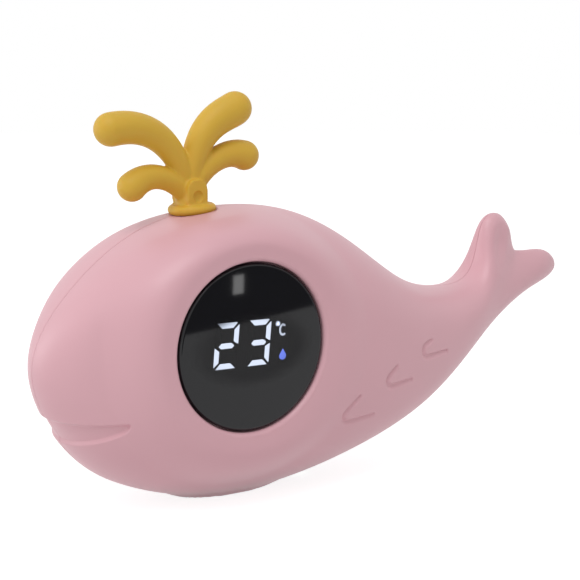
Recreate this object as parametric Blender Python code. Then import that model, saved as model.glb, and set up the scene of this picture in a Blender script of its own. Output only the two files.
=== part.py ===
"""Floating bath thermometer in the shape of a small whale.

Metres, +Z up. The head points to -X, the display faces -Y, the seam between the
two moulded shells lies in the plane Y = 0, and Z = 0 is the flat spot under the
belly. The origin is the middle of the bottom of the whole object.
"""
import math

import bmesh
import bpy
from mathutils import Matrix, Vector

MM = 0.001

# Body, a pebble with a tail
BODY_LENGTH = 138.6 * MM
BODY_HEIGHT = 59.7 * MM
BODY_THICKNESS = 40.4 * MM
WALL = 2.2 * MM
PARTING_GAP = 0.2 * MM
CAVITY_END = 0.80
CAVITY_DETAIL = 0.3
SURFACE_LEVEL = 2
FOOT_DRAW = 2.3 * MM
FOOT_PULL = 0.82
FOOT_SPARE = 0.5 * MM

# Fit between neighbours, and how far cutting shapes run past what they cut
CLEARANCE = 0.3 * MM
CLOSE_FIT = 0.12 * MM
PAST = 1.0 * MM
FAR_PAST = 4.0 * MM
OFF_SEAM = 0.01 * MM

# Round display on the left flank
LENS_RADIUS = 16.5 * MM
LENS_THICKNESS = 2.0 * MM
LENS_EDGE = 0.8 * MM
LENS_FROM_NOSE = 37.5 * MM
LENS_HEIGHT = 33.9 * MM
LENS_RECESS = 0.6 * MM
LAND_WIDTH = 1.6 * MM
LAND_MARGIN = 1.0 * MM
LAND_SPARE = 0.05 * MM
LAND_BLEND = 10.0 * MM
SEAM_KEEP = 5.0 * MM
LEDGE_WIDTH = 2.0 * MM
LEDGE_DEPTH = 1.7 * MM
GASKET_THICKNESS = 0.3 * MM
MASK_THICKNESS = 0.6 * MM
MASK_MARGIN = 0.5 * MM
HOUSING_DEPTH = 5.0 * MM
WELL_DEPTH_MARGIN = 1.2 * MM

# Digits of the display
DIGIT_HALF_WIDTH = 2.1 * MM
DIGIT_HALF_HEIGHT = 3.98 * MM
DIGIT_PITCH = 7.4 * MM
DIGIT_OFFSET_X = -4.67 * MM
DIGIT_OFFSET_Z = 0.35 * MM
DIGIT_SLANT = 0.068
SEGMENT_WIDTH = 0.95 * MM
SEGMENT_GAP = 0.42 * MM
SEGMENT_MIDDLE_GAP = 0.62 * MM
SEGMENT_MIDDLE_SLOPE = 0.6
SPINE_WIDTH = 0.5 * MM
SPINE_DEPTH = 0.4 * MM
DEGREE_OFFSET = (7.2 * MM, 3.76 * MM)
DEGREE_RADIUS = 0.5 * MM
DEGREE_HOLE_SHARE = 0.56
CELSIUS_OFFSET = (8.42 * MM, 2.44 * MM)
CELSIUS_SIZE = (1.75 * MM, 2.4 * MM)
ICON_STROKE = 0.3 * MM
DROP_OFFSET = (8.46 * MM, -2.5 * MM)
DROP_SIZE = (1.5 * MM, 2.2 * MM)

# Circuit board
BOARD_RADIUS = 17.2 * MM
BOARD_THICKNESS = 1.2 * MM
BOSS_RADIUS = 2.0 * MM
BOSS_CIRCLE = 16.9 * MM
BOSS_ANGLES = (90, 210, 330)
SCREW_RADIUS = 0.75 * MM
SCREW_HEAD_RADIUS = 1.6 * MM
SCREW_HEAD_HEIGHT = 1.0 * MM
SCREW_REACH = 3.4 * MM
SLOT_HALF_WIDTH = 0.35 * MM
EDGE_ROUNDING = 0.2 * MM
LED_HALF_WIDTH = 1.2 * MM
LED_HEIGHT = 1.0 * MM
CHIP_SIZE = (6.0 * MM, 1.3 * MM, 6.0 * MM)
CHIP_OFFSET = (-5.0 * MM, 4.0 * MM)
CAPACITOR_RADIUS = 2.5 * MM
CAPACITOR_HEIGHT = 5.4 * MM
CAPACITOR_OFFSET = (7.5 * MM, 6.0 * MM)
CONNECTOR_SIZE = (12.0 * MM, 4.0 * MM, 4.0 * MM)
CONNECTOR_OFFSET = (0.0 * MM, -8.0 * MM)
CONNECTOR_PITCH = 2.3 * MM

# Smile and marks pressed into the surface
MOUTH_DEPTH = 0.65 * MM
MOUTH_HALF_WIDTH = 14.6 * MM
MOUTH_TOP = 19.9 * MM
MOUTH_CORNER = 20.8 * MM
MOUTH_BOTTOM = 15.2 * MM
MOUTH_REACH = 16.0 * MM
MARK_DEPTH = 0.5 * MM
MARK_BEND = 1.25 * MM
MARK_WIDTH = 1.3 * MM
MARK_TIP_WIDTH = 0.7 * MM
MARK_INNER_Y = -5.0 * MM

# Two AAA cells in a tray behind a screwed door in the hidden side
CELL_RADIUS = 5.15 * MM
CELL_LENGTH = 44.0 * MM
CELL_NUB_RADIUS = 1.9 * MM
CELL_NUB_LENGTH = 0.9 * MM
CELL_EDGE = 0.5 * MM
CELL_PITCH = 11.3 * MM
CELL_MIDDLE_X = 45.6 * MM
CELL_MIDDLE_Z = 22.2 * MM
CELL_DEPTH_Y = 8.0 * MM
CONTACT_THICKNESS = 0.4 * MM
SPRING_LENGTH = 3.1 * MM
SPRING_WIRE = 0.35 * MM
SPRING_TURNS = 3
SPRING_RADIUS = 3.1 * MM
SPRING_TAPER = 1.1 * MM
BUMP_HALF_WIDTH = 1.5 * MM
TRAY_WALL = 1.3 * MM
TRAY_CORNER = 1.5 * MM
TRAY_ROOM = (0.6 * MM, 0.7 * MM)
RIB_HALF_LENGTH = 6.0 * MM
RIB_HALF_WIDTH = 0.35 * MM
RIB_DROP = 2.2 * MM
DOOR_THICKNESS = 1.6 * MM
DOOR_SEAL_THICKNESS = 0.8 * MM
DOOR_SEAL_WIDTH = 1.4 * MM
DOOR_TAB = 5.6 * MM
DOOR_LIP = 2.2 * MM
DOOR_CORNER = 6.0 * MM
FRAME_DEPTH = 4.0 * MM
FRAME_MARGIN = 1.3 * MM
DOOR_BOSS_RADIUS = 3.0 * MM
DOOR_BOSS_DEPTHS = (3.0 * MM, 8.0 * MM)
DOOR_HEAD_SINK = 0.9 * MM
DOOR_SCREW_REACH = 5.0 * MM
DOOR_PILOT_SPARE = 0.5 * MM

# Temperature probe and water contacts under the belly
PROBE_FROM_NOSE = 61.5 * MM
PROBE_RADIUS = 3.0 * MM
PROBE_FLANGE = 1.3 * MM
PROBE_SKIN = 0.4 * MM
PROBE_HEIGHT = 7.0 * MM
PROBE_CLEAR_OF_FLOOR = 0.6 * MM
PROBE_STANDS_OUT = 0.9 * MM
BEAD_RADIUS = 1.3 * MM
BEAD_NECK_RADIUS = 0.6 * MM
ELECTRODE_SPACING = 7.5 * MM
ELECTRODE_RADIUS = 1.0 * MM
ELECTRODE_HEIGHT = 6.0 * MM
ELECTRODE_FLANGE = 0.9 * MM
ELECTRODE_STANDS_OUT = 0.4 * MM
CONTACT_FLANGE_THICKNESS = 0.8 * MM
CONTACT_FLOOR = 1.5 * MM

# Wires
WIRE_RADIUS = 0.5 * MM
WIRE_BEND = 4.5 * MM
BATTERY_WIRE_OUT = 4.0 * MM
BATTERY_WIRE_BACK = 14.0 * MM

# Silicone water spout
SPOUT_FROM_NOSE = 34.9 * MM
SPOUT_SINK = 0.6 * MM
SPOUT_TILT = math.radians(4.4)
FLANGE_RADIUS = 4.9 * MM
FLANGE_THICKNESS = 1.7 * MM
FLANGE_EDGE = 0.5 * MM
NECK_RADIUS = 3.3 * MM
NECK_HEIGHT = 6.0 * MM
NECK_FOOT = 1.0 * MM
NECK_DOME = 1.8 * MM
STEM_RADIUS = 2.7 * MM
STEM_LENGTH = 5.6 * MM
BARB_RADIUS = 3.7 * MM
BARB_LENGTH = 2.0 * MM
BARB_EDGE = 0.2 * MM

SIDES = 24

# Outline of the body, nose to tail stock. Each row: top point, bottom point, half width,
# and where the shoulder lies: its drop from the top and its reach outwards. The points are
# shares of body length and height, the half width and reach shares of half the thickness.
STATIONS = (
    ((0.029, 0.698), (0.059, 0.141), 0.594, 0.030, 1.02),
    ((0.133, 0.931), (0.129, 0.025), 0.921, 0.058, 0.99),
    ((0.242, 1.027), (0.231, -0.062), 1.020, 0.090, 0.96),
    ((0.395, 1.062), (0.351, -0.075), 1.040, 0.134, 0.92),
    ((0.514, 0.938), (0.507, 0.007), 0.950, 0.166, 0.89),
    ((0.639, 0.692), (0.651, 0.146), 0.743, 0.166, 0.89),
    ((0.773, 0.655), (0.742, 0.333), 0.520, 0.166, 0.89),
    ((0.806, 0.730), (0.831, 0.472), 0.347, 0.166, 0.89),
)
BELLY_SHOULDER = (0.16, 0.88)
NOSE_TIP = (-0.051, 0.504)
TAIL_NOTCH = (0.913, 0.802)
UPPER_LOBE = {
    "outer": ((0.805, 0.910), (0.830, 0.946)),
    "middle": ((0.832, 0.849, 0.228), (0.868, 0.920, 0.178)),
    "inner": (0.897, 0.786),
    "tip": (0.877, 0.962),
}
LOWER_LOBE = {
    "outer": ((0.923, 0.583), (0.991, 0.606)),
    "middle": ((0.932, 0.660, 0.238), (0.985, 0.719, 0.188)),
    "inner": (0.972, 0.814),
    "tip": (1.043, 0.680),
}

# Jets of the spout in the seam plane, in millimetres from the middle of its seat. Each row:
# name, three control points of a curve that starts in the neck, and radius at its start,
# middle and end.
JETS = (
    ("upper_front", ((-3.0, 12.7), (-8.5, 18.7), (-18.2, 16.8)), (1.6, 3.0, 3.35)),
    ("upper_rear", ((-1.2, 18.1), (7.5, 19.5), (9.7, 21.0)), (1.8, 3.6, 3.5)),
    ("lower_rear", ((-1.1, 6.4), (5.8, 13.7), (12.1, 11.5)), (2.6, 1.9, 3.1)),
    ("lower_front", ((-2.5, 6.1), (-8.9, 9.9), (-13.6, 5.7)), (2.3, 2.0, 2.95)),
)
JET_ROOT = (-0.5, 2.65)

# Rounded end of the probe cap: radius and height as shares of its radius
CAP_CURVE = ((0.0, 0.0), (0.55, 0.04), (0.88, 0.17), (1.0, 0.4))

# Hooked marks on the flank, in millimetres from the nose and from the floor. Each row:
# middle of the round bend, upper tip, lower tip.
MARKS = (
    ((62.6, 16.6), (65.0, 20.6), (69.9, 15.7)),
    ((74.3, 22.8), (75.4, 25.6), (80.5, 22.0)),
    ((85.6, 27.7), (87.0, 29.7), (92.6, 26.6)),
)

NOSE_X = -BODY_LENGTH / 2
HALF_THICKNESS = BODY_THICKNESS / 2
LENS_X = NOSE_X + LENS_FROM_NOSE
LAND_Y = -HALF_THICKNESS + 0.1 * MM
LENS_FRONT_Y = LAND_Y + LENS_RECESS
LENS_BACK_Y = LENS_FRONT_Y + LENS_THICKNESS
LEDGE_Y = LENS_BACK_Y + GASKET_THICKNESS
COLLAR_BACK_Y = LEDGE_Y + LEDGE_DEPTH
COLLAR_RADIUS = LENS_RADIUS + CLEARANCE + LAND_WIDTH
OPENING_RADIUS = LENS_RADIUS - LEDGE_WIDTH
MASK_FRONT_Y = LENS_BACK_Y + CLEARANCE
MASK_BACK_Y = MASK_FRONT_Y + MASK_THICKNESS
MASK_RADIUS = OPENING_RADIUS - MASK_MARGIN
BOARD_FRONT_Y = MASK_BACK_Y + HOUSING_DEPTH
BOARD_BACK_Y = BOARD_FRONT_Y + BOARD_THICKNESS
TRAY_HALF_X = CELL_LENGTH / 2 + CONTACT_THICKNESS + SPRING_LENGTH + TRAY_ROOM[0]
TRAY_HALF_Z = CELL_PITCH / 2 + CELL_RADIUS + TRAY_ROOM[1]
TRAY_X = NOSE_X + CELL_MIDDLE_X
TRAY_FLOOR_Y = CELL_DEPTH_Y - CELL_RADIUS - CLEARANCE


def clear_scene():
    for old in list(bpy.data.objects):
        bpy.data.objects.remove(old, do_unlink=True)


def plastic(name, colour, roughness, metallic=0.0):
    """One Principled material with the piece's own colour."""
    material = bpy.data.materials.new(name)
    material.use_nodes = True
    shader = material.node_tree.nodes["Principled BSDF"]
    shader.inputs["Base Color"].default_value = (*colour, 1.0)
    shader.inputs["Roughness"].default_value = roughness
    shader.inputs["Metallic"].default_value = metallic
    return material


def face_out(bm):
    """Point every face of a closed shape outwards."""
    bmesh.ops.recalc_face_normals(bm, faces=bm.faces)
    if bm.calc_volume(signed=True) < 0:
        bmesh.ops.reverse_faces(bm, faces=bm.faces)


def add_object(name, bm, material=None):
    """Link a finished bmesh as an object, with its faces pointing out."""
    face_out(bm)
    mesh = bpy.data.meshes.new(name)
    bm.to_mesh(mesh)
    bm.free()
    thing = bpy.data.objects.new(name, mesh)
    bpy.context.scene.collection.objects.link(thing)
    if material is not None:
        mesh.materials.append(material)
        mesh.shade_smooth()
        mesh.set_sharp_from_angle(angle=math.radians(35))
    return thing


def apply_modifiers(thing):
    """Replace an object's mesh by what its modifiers make of it."""
    graph = bpy.context.evaluated_depsgraph_get()
    mesh = bpy.data.meshes.new_from_object(thing.evaluated_get(graph))
    thing.modifiers.clear()
    worn = thing.data
    thing.data = mesh
    bpy.data.meshes.remove(worn)


def remove(thing):
    mesh = thing.data
    bpy.data.objects.remove(thing, do_unlink=True)
    bpy.data.meshes.remove(mesh)


def combine(thing, tool, operation, keep_tool=False):
    """Join, cut or intersect one solid with another."""
    step = thing.modifiers.new(operation.lower(), "BOOLEAN")
    step.operation = operation
    step.object = tool
    step.solver = "EXACT"
    apply_modifiers(thing)
    if not keep_tool:
        remove(tool)


def join(thing, tool, keep_tool=False):
    combine(thing, tool, "UNION", keep_tool)


def cut(thing, tool, keep_tool=False):
    combine(thing, tool, "DIFFERENCE", keep_tool)


def keep_inside(thing, tool, keep_tool=False):
    combine(thing, tool, "INTERSECT", keep_tool)


def copy_of(thing, name):
    twin = bpy.data.objects.new(name, thing.data.copy())
    bpy.context.scene.collection.objects.link(twin)
    return twin


def rod(name, radius, start, end, material=None, sides=SIDES, end_radius=None):
    """Cylinder or cone between two points."""
    start = Vector(start)
    end = Vector(end)
    way = end - start
    turn = way.to_track_quat("Z", "Y").to_matrix().to_4x4()
    place = Matrix.Translation((start + end) / 2) @ turn
    bm = bmesh.new()
    bmesh.ops.create_cone(
        bm, cap_ends=True, segments=sides, radius1=radius,
        radius2=radius if end_radius is None else end_radius,
        depth=way.length, matrix=place)
    return add_object(name, bm, material)


def block(name, low, high, material=None, rounding=0.0):
    """Box between two corners, its edges rounded where asked."""
    low = Vector(low)
    high = Vector(high)
    size = high - low
    place = Matrix.Translation((low + high) / 2) @ Matrix.Diagonal((*size, 1.0))
    bm = bmesh.new()
    bmesh.ops.create_cube(bm, size=1.0, matrix=place)
    if rounding > 0:
        bmesh.ops.bevel(bm, geom=bm.edges[:], offset=rounding, segments=1, profile=0.5, affect="EDGES",
                        material=-1)
    return add_object(name, bm, material)


def slab(name, outline, low_y, high_y, material=None):
    """Extrude a closed outline of (x, z) points along Y."""
    bm = bmesh.new()
    face = bm.faces.new([bm.verts.new((x, low_y, z)) for x, z in outline])
    grown = bmesh.ops.extrude_face_region(bm, geom=[face])
    moved = [v for v in grown["geom"] if isinstance(v, bmesh.types.BMVert)]
    bmesh.ops.translate(bm, verts=moved, vec=(0, high_y - low_y, 0))
    return add_object(name, bm, material)


def turned(name, profile, centre, material=None, sides=SIDES, turn=None):
    """Spin a profile of (radius, height) points, both ends on the axis, around +Z, then place it."""
    bm = bmesh.new()
    verts = [bm.verts.new((r, 0, h)) for r, h in profile]
    edges = [bm.edges.new((a, b)) for a, b in zip(verts, verts[1:])]
    bmesh.ops.spin(bm, geom=verts + edges, axis=(0, 0, 1), cent=(0, 0, 0), angle=2 * math.pi, steps=sides,
                   use_merge=True)
    bmesh.ops.remove_doubles(bm, verts=bm.verts, dist=1e-6)
    place = Matrix.Translation(centre) @ (turn or Matrix.Identity(4))
    bmesh.ops.transform(bm, matrix=place, verts=bm.verts)
    return add_object(name, bm, material)


def arc(centre, radius, start, end, steps):
    """Points on an arc, angles in degrees."""
    points = []
    for i in range(steps + 1):
        angle = math.radians(start + (end - start) * i / steps)
        points.append((centre[0] + radius * math.cos(angle), centre[1] + radius * math.sin(angle)))
    return points


def rounded_box(centre, half_x, half_z, corner):
    """Outline of a rectangle with round corners, in X and Z."""
    points = []
    for sx, sz, start in ((1, 1, 0), (-1, 1, 90), (-1, -1, 180), (1, -1, 270)):
        middle = (centre[0] + sx * (half_x - corner), centre[1] + sz * (half_z - corner))
        points += arc(middle, corner, start, start + 90, 4)
    return points


def on_body(share_x, share_z, y=0.0):
    return Vector((NOSE_X + share_x * BODY_LENGTH, y, share_z * BODY_HEIGHT))


def body_cage():
    """Coarse closed cage of the whale: eight points round each station, a nose point,
    and two lobes that part at the tail notch."""
    bm = bmesh.new()
    rings = []
    for top, bottom, half_width, drop, reach in STATIONS:
        width = half_width * HALF_THICKNESS
        belly_drop, belly_reach = BELLY_SHOULDER
        across = (
            (0.0, 0.0),
            (drop, reach * width),
            (0.5, width),
            (1.0 - belly_drop, belly_reach * width),
            (1.0, 0.0),
        )
        points = []
        for share, out in across:
            x = top[0] + (bottom[0] - top[0]) * share
            z = top[1] + (bottom[1] - top[1]) * share
            points.append((x, z, out))
        ring = [bm.verts.new(on_body(x, z, -out)) for x, z, out in points]
        ring += [bm.verts.new(on_body(x, z, out)) for x, z, out in reversed(points[1:4])]
        rings.append(ring)
    for near, far in zip(rings, rings[1:]):
        for i in range(8):
            j = (i + 1) % 8
            bm.faces.new((near[i], near[j], far[j], far[i]))
    first = rings[0]
    nose = bm.verts.new(on_body(*NOSE_TIP))
    for i in (0, 2, 4, 6):
        bm.faces.new((nose, first[(i + 2) % 8], first[i + 1], first[i]))
    add_tail(bm, rings[-1])
    return bm


def add_tail(bm, ring):
    """Two lobes on the last ring of the cage."""
    top, up_front, front, low_front, bottom, low_back, back, up_back = ring
    notch = bm.verts.new(on_body(*TAIL_NOTCH))
    add_lobe(bm, (top, up_front, front), (up_back, back), notch, UPPER_LOBE)
    add_lobe(bm, (bottom, low_front, front), (low_back, back), notch, LOWER_LOBE)


def add_lobe(bm, near_front, near_back, notch, lobe):
    edge, side_front, middle_front = near_front
    side_back, middle_back = near_back
    outer = [bm.verts.new(on_body(*point)) for point in lobe["outer"]]
    front = []
    back = []
    for x, z, width in lobe["middle"]:
        front.append(bm.verts.new(on_body(x, z, -width * HALF_THICKNESS)))
        back.append(bm.verts.new(on_body(x, z, width * HALF_THICKNESS)))
    inner = bm.verts.new(on_body(*lobe["inner"]))
    tip = bm.verts.new(on_body(*lobe["tip"]))
    for side, near_side, near_middle in ((front, side_front, middle_front), (back, side_back, middle_back)):
        bm.faces.new((edge, near_side, side[0], outer[0]))
        bm.faces.new((near_side, near_middle, notch, side[0]))
        bm.faces.new((outer[0], side[0], side[1], outer[1]))
        bm.faces.new((side[0], notch, inner, side[1]))
        bm.faces.new((outer[1], side[1], inner, tip))


def smooth_share(value):
    value = min(max(value, 0.0), 1.0)
    return value * value * (3 - 2 * value)


def flatten_for_lens(mesh):
    """Draw the flank round the display to one flat land, less and less towards the seam."""
    for vertex in mesh.vertices:
        away = math.hypot(vertex.co.x - LENS_X, vertex.co.z - LENS_HEIGHT)
        hold = 1 - smooth_share((away - COLLAR_RADIUS - LAND_MARGIN) / LAND_BLEND)
        hold *= smooth_share(-vertex.co.y / SEAM_KEEP)
        vertex.co.y += (LAND_Y + LAND_SPARE - vertex.co.y) * hold


def draw_foot(mesh):
    """Draw the lowest part of the belly down to a flat, wide enough to stand on. The flat
    lies a little under the floor, where the shells are cut off."""
    for vertex in mesh.vertices:
        if vertex.co.z < FOOT_DRAW:
            drawn = vertex.co.z - FOOT_PULL * (FOOT_DRAW - vertex.co.z)
            vertex.co.z = max(drawn, -FOOT_SPARE)


def body_solid(name):
    """The smooth closed outside of the whole body."""
    whole = add_object(name, body_cage())
    smoother = whole.modifiers.new("smooth", "SUBSURF")
    smoother.levels = SURFACE_LEVEL
    smoother.render_levels = SURFACE_LEVEL
    apply_modifiers(whole)
    flatten_for_lens(whole.data)
    draw_foot(whole.data)
    return whole


def core_solid(name, body, depth):
    """The body shrunk by a depth, ending before the tail lobes."""
    core = copy_of(body, name)
    mesh = core.data
    shifts = [vertex.normal * depth for vertex in mesh.vertices]
    for vertex, shift in zip(mesh.vertices, shifts):
        vertex.co -= shift
    bm = bmesh.new()
    bm.from_mesh(mesh)
    slice_off(bm, on_body(CAVITY_END, 0), (1, 0, 0))
    bm.to_mesh(mesh)
    bm.free()
    return core


def cavity_solid(body):
    """Inside of the hollow body, with fewer faces than the outside."""
    cavity = core_solid("cavity", body, WALL)
    thinner = cavity.modifiers.new("fewer_faces", "DECIMATE")
    thinner.ratio = CAVITY_DETAIL
    apply_modifiers(cavity)
    return cavity


def slice_off(bm, point, normal):
    """Cut away what lies ahead of a plane and close the cut."""
    bmesh.ops.bisect_plane(bm, geom=bm.verts[:] + bm.edges[:] + bm.faces[:], dist=1e-7, plane_co=point,
                           plane_no=normal, clear_outer=True)
    rim = [edge for edge in bm.edges if edge.is_boundary]
    bmesh.ops.holes_fill(bm, edges=rim, sides=0)
    face_out(bm)


def half_of(name, body, side, material):
    """One half of the body, cut at the seam and at the flat foot."""
    half = copy_of(body, name)
    bm = bmesh.new()
    bm.from_mesh(half.data)
    slice_off(bm, (0, side * PARTING_GAP / 2, 0), (0, -side, 0))
    slice_off(bm, (0, 0, 0), (0, 0, -1))
    bm.to_mesh(half.data)
    bm.free()
    half.data.materials.append(material)
    half.data.shade_smooth()
    half.data.set_sharp_from_angle(angle=math.radians(35))
    return half


def skin_patch(name, prism, body, core):
    """What a prism covers of the layer between the surface and a core."""
    patch = prism
    patch.name = name
    keep_inside(patch, body, keep_tool=True)
    cut(patch, core, keep_tool=True)
    return patch


def mark_outline(bend, upper, lower):
    """Two strokes that taper towards their tips, joined by a round bend towards the head."""
    steps = 6
    touches = []
    for tip, side in ((upper, 1), (lower, -1)):
        way = tip - bend
        touches.append(math.atan2(way.y, way.x) + side * math.acos(MARK_BEND / way.length))
    sweep = (touches[1] - touches[0]) % (2 * math.pi)
    rays = []
    for i in range(steps + 1):
        angle = touches[0] + sweep * i / steps
        rays.append(Vector((math.cos(angle), math.sin(angle))))
    half_tip = MARK_TIP_WIDTH / 2
    outside = [bend + ray * (MARK_BEND + MARK_WIDTH / 2) for ray in rays]
    inside = [bend + ray * (MARK_BEND - MARK_WIDTH / 2) for ray in rays]
    outside = [upper + rays[0] * half_tip, *outside, lower + rays[-1] * half_tip]
    inside = [upper - rays[0] * half_tip, *inside, lower - rays[-1] * half_tip]
    return [(point.x, point.y) for point in outside + inside[::-1]]


def mouth_outline():
    """Half-moon smile in Y and Z, highest at its corners."""
    steps = 8
    points = []
    for i in range(steps + 1):
        share = -1 + 2 * i / steps
        points.append((share * MOUTH_HALF_WIDTH, MOUTH_TOP + (MOUTH_CORNER - MOUTH_TOP) * share * share))
    for i in range(1, steps):
        share = 1 - 2 * i / steps
        drop = math.sqrt(1 - abs(share) ** 2.2)
        points.append((share * MOUTH_HALF_WIDTH, MOUTH_CORNER - (MOUTH_CORNER - MOUTH_BOTTOM) * drop))
    return points


def mouth_prism(name):
    bm = bmesh.new()
    start = NOSE_X - FAR_PAST
    face = bm.faces.new([bm.verts.new((start, y, z)) for y, z in mouth_outline()])
    grown = bmesh.ops.extrude_face_region(bm, geom=[face])
    moved = [v for v in grown["geom"] if isinstance(v, bmesh.types.BMVert)]
    bmesh.ops.translate(bm, verts=moved, vec=(FAR_PAST + MOUTH_REACH, 0, 0))
    return add_object(name, bm)


def press_mouth(shell, body):
    groove = mouth_prism("mouth")
    core = core_solid("mouth_core", body, MOUTH_DEPTH)
    cut(groove, core)
    cut(shell, groove)


def press_marks(shell, body):
    core = core_solid("mark_core", body, MARK_DEPTH)
    nose = Vector((NOSE_X, 0))
    for row in MARKS:
        places = [nose + Vector(point) * MM for point in row]
        mark = slab("mark", mark_outline(*places), -HALF_THICKNESS - PAST, MARK_INNER_Y)
        cut(mark, core, keep_tool=True)
        cut(shell, mark)
    remove(core)


def lens_rod(name, radius, low_y, high_y, material=None, sides=48):
    return rod(name, radius, (LENS_X, low_y, LENS_HEIGHT), (LENS_X, high_y, LENS_HEIGHT), material, sides)


def boss_places():
    places = []
    for degrees in BOSS_ANGLES:
        angle = math.radians(degrees)
        places.append((LENS_X + BOSS_CIRCLE * math.cos(angle), LENS_HEIGHT + BOSS_CIRCLE * math.sin(angle)))
    return places


def spout_seat(body):
    """Middle of the shallow flat on top of the head that the spout's flange rests on."""
    x = NOSE_X + SPOUT_FROM_NOSE
    found, place, normal, index = body.ray_cast(Vector((x, OFF_SEAM, 2 * BODY_HEIGHT)), Vector((0, 0, -1)))
    return Vector((x, 0, place.z - SPOUT_SINK))


def spout_frame(body):
    """Where the spout sits, leaning with the surface."""
    seat = spout_seat(body)
    return Matrix.Translation(seat) @ Matrix.Rotation(-SPOUT_TILT, 4, "Y")


def probe_places():
    middle = NOSE_X + PROBE_FROM_NOSE
    return middle, (middle - ELECTRODE_SPACING, middle + ELECTRODE_SPACING)


def contact_seat(body, x):
    """Height of the flat that a contact's flange rests on, inside the belly."""
    return max(belly_z(body, x), 0.0) + CONTACT_FLOOR


def pierce_shell(shell, body):
    """Holes that both shells share: spout, probe and the two water contacts."""
    frame = spout_frame(body)
    above = frame @ Vector((0, 0, FAR_PAST))
    cut(shell, rod("hole", STEM_RADIUS + CLEARANCE, frame @ Vector((0, 0, -STEM_LENGTH - FAR_PAST)), above))
    cut(shell, rod("flat", FLANGE_RADIUS + CLEARANCE, frame.translation, above))
    middle, sides = probe_places()
    widths = [(middle, PROBE_RADIUS, PROBE_FLANGE)]
    widths += [(x, ELECTRODE_RADIUS, ELECTRODE_FLANGE) for x in sides]
    for x, radius, flange in widths:
        seat = contact_seat(body, x)
        cut(shell, rod("hole", radius + CLEARANCE, (x, 0, -FAR_PAST), (x, 0, seat + PAST), sides=16))
        above = (x, 0, seat + FAR_PAST)
        cut(shell, rod("flat", radius + flange + CLEARANCE, (x, 0, seat), above, sides=16))


def make_front_shell(body, material):
    shell = half_of("front_shell", body, -1, material)
    cut(shell, cavity_solid(body))
    join(shell, lens_rod("collar", COLLAR_RADIUS, LAND_Y, COLLAR_BACK_Y))
    cut(shell, lens_rod("opening", OPENING_RADIUS, LAND_Y - FAR_PAST, COLLAR_BACK_Y + PAST))
    for x, z in boss_places():
        root = (x, LEDGE_Y + LEDGE_DEPTH / 3, z)
        join(shell, rod("boss", BOSS_RADIUS, root, (x, BOARD_FRONT_Y, z), sides=20))
        cut(shell, rod("pilot", SCREW_RADIUS + CLEARANCE, (x, BOARD_FRONT_Y - SCREW_REACH, z),
                       (x, BOARD_FRONT_Y + PAST, z), sides=16))
    cut(shell, lens_rod("pocket", LENS_RADIUS + CLEARANCE, LAND_Y - FAR_PAST, LEDGE_Y))
    press_mouth(shell, body)
    press_marks(shell, body)
    pierce_shell(shell, body)
    return shell


def door_outline(grow, tabs=True):
    """Outline of the battery door, with a tab for a screw at each end."""
    reach = TRAY_HALF_X + DOOR_LIP + grow + (DOOR_TAB if tabs else 0)
    half_z = TRAY_HALF_Z + DOOR_LIP + grow
    return rounded_box((TRAY_X, CELL_MIDDLE_Z), reach, half_z, DOOR_CORNER + min(grow, 0))


def tray_outline(grow):
    corner = TRAY_CORNER + max(grow, 0)
    return rounded_box((TRAY_X, CELL_MIDDLE_Z), TRAY_HALF_X + grow, TRAY_HALF_Z + grow, corner)


def rear_prism(name, outline):
    return slab(name, outline, PAST, HALF_THICKNESS + FAR_PAST)


def door_screw_places():
    reach = TRAY_HALF_X + DOOR_LIP + DOOR_TAB / 2 - CLEARANCE
    return [(TRAY_X + side * reach, CELL_MIDDLE_Z) for side in (-1, 1)]


def surface_y(body, x, z):
    """How far out the hidden flank lies at a place."""
    found, place, normal, index = body.ray_cast(Vector((x, 2 * BODY_THICKNESS, z)), Vector((0, -1, 0)))
    return place.y


def make_rear_shell(body, material):
    shell = half_of("rear_shell", body, 1, material)
    cut(shell, cavity_solid(body))
    frame_core = core_solid("frame_core", body, FRAME_DEPTH)
    frame = rear_prism("frame", door_outline(FRAME_MARGIN))
    skin = core_solid("frame_skin", body, WALL / 2)
    join(shell, skin_patch("frame", frame, skin, frame_core))
    remove(skin)
    for x, z in door_screw_places():
        outside = surface_y(body, x, z)
        high, low = (outside - depth for depth in DOOR_BOSS_DEPTHS)
        join(shell, rod("boss", DOOR_BOSS_RADIUS, (x, low, z), (x, high, z), sides=20))
    recess_core = core_solid("recess_core", body, DOOR_THICKNESS + CLOSE_FIT)
    recess = rear_prism("recess", door_outline(0.0))
    cut(recess, recess_core)
    cut(shell, recess)
    groove_core = core_solid("groove_core", body, DOOR_THICKNESS + DOOR_SEAL_THICKNESS + 3 * CLOSE_FIT)
    groove = rear_prism("groove", tray_outline(DOOR_SEAL_WIDTH + 2 * CLOSE_FIT))
    cut(groove, groove_core)
    cut(shell, groove)
    cut(shell, rear_prism("way_in", tray_outline(0.0)))
    for x, z in door_screw_places():
        outside = surface_y(body, x, z)
        end = outside - DOOR_HEAD_SINK - DOOR_SCREW_REACH - DOOR_PILOT_SPARE
        cut(shell, rod("pilot", SCREW_RADIUS + CLEARANCE, (x, end, z), (x, outside + PAST, z), sides=16))
    remove(frame_core)
    press_mouth(shell, body)
    pierce_shell(shell, body)
    return shell


def make_battery_door(body, material):
    core = core_solid("door_core", body, DOOR_THICKNESS)
    door = skin_patch("battery_door", rear_prism("door", door_outline(-CLEARANCE)), body, core)
    remove(core)
    for x, z in door_screw_places():
        outside = surface_y(body, x, z)
        above = (x, outside + PAST, z)
        cut(door, rod("seat", SCREW_HEAD_RADIUS + CLEARANCE, (x, outside - DOOR_HEAD_SINK, z), above))
        cut(door, rod("way", SCREW_RADIUS + CLEARANCE, (x, outside - DOOR_SCREW_REACH, z), above, sides=16))
    door.data.materials.append(material)
    return door


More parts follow.
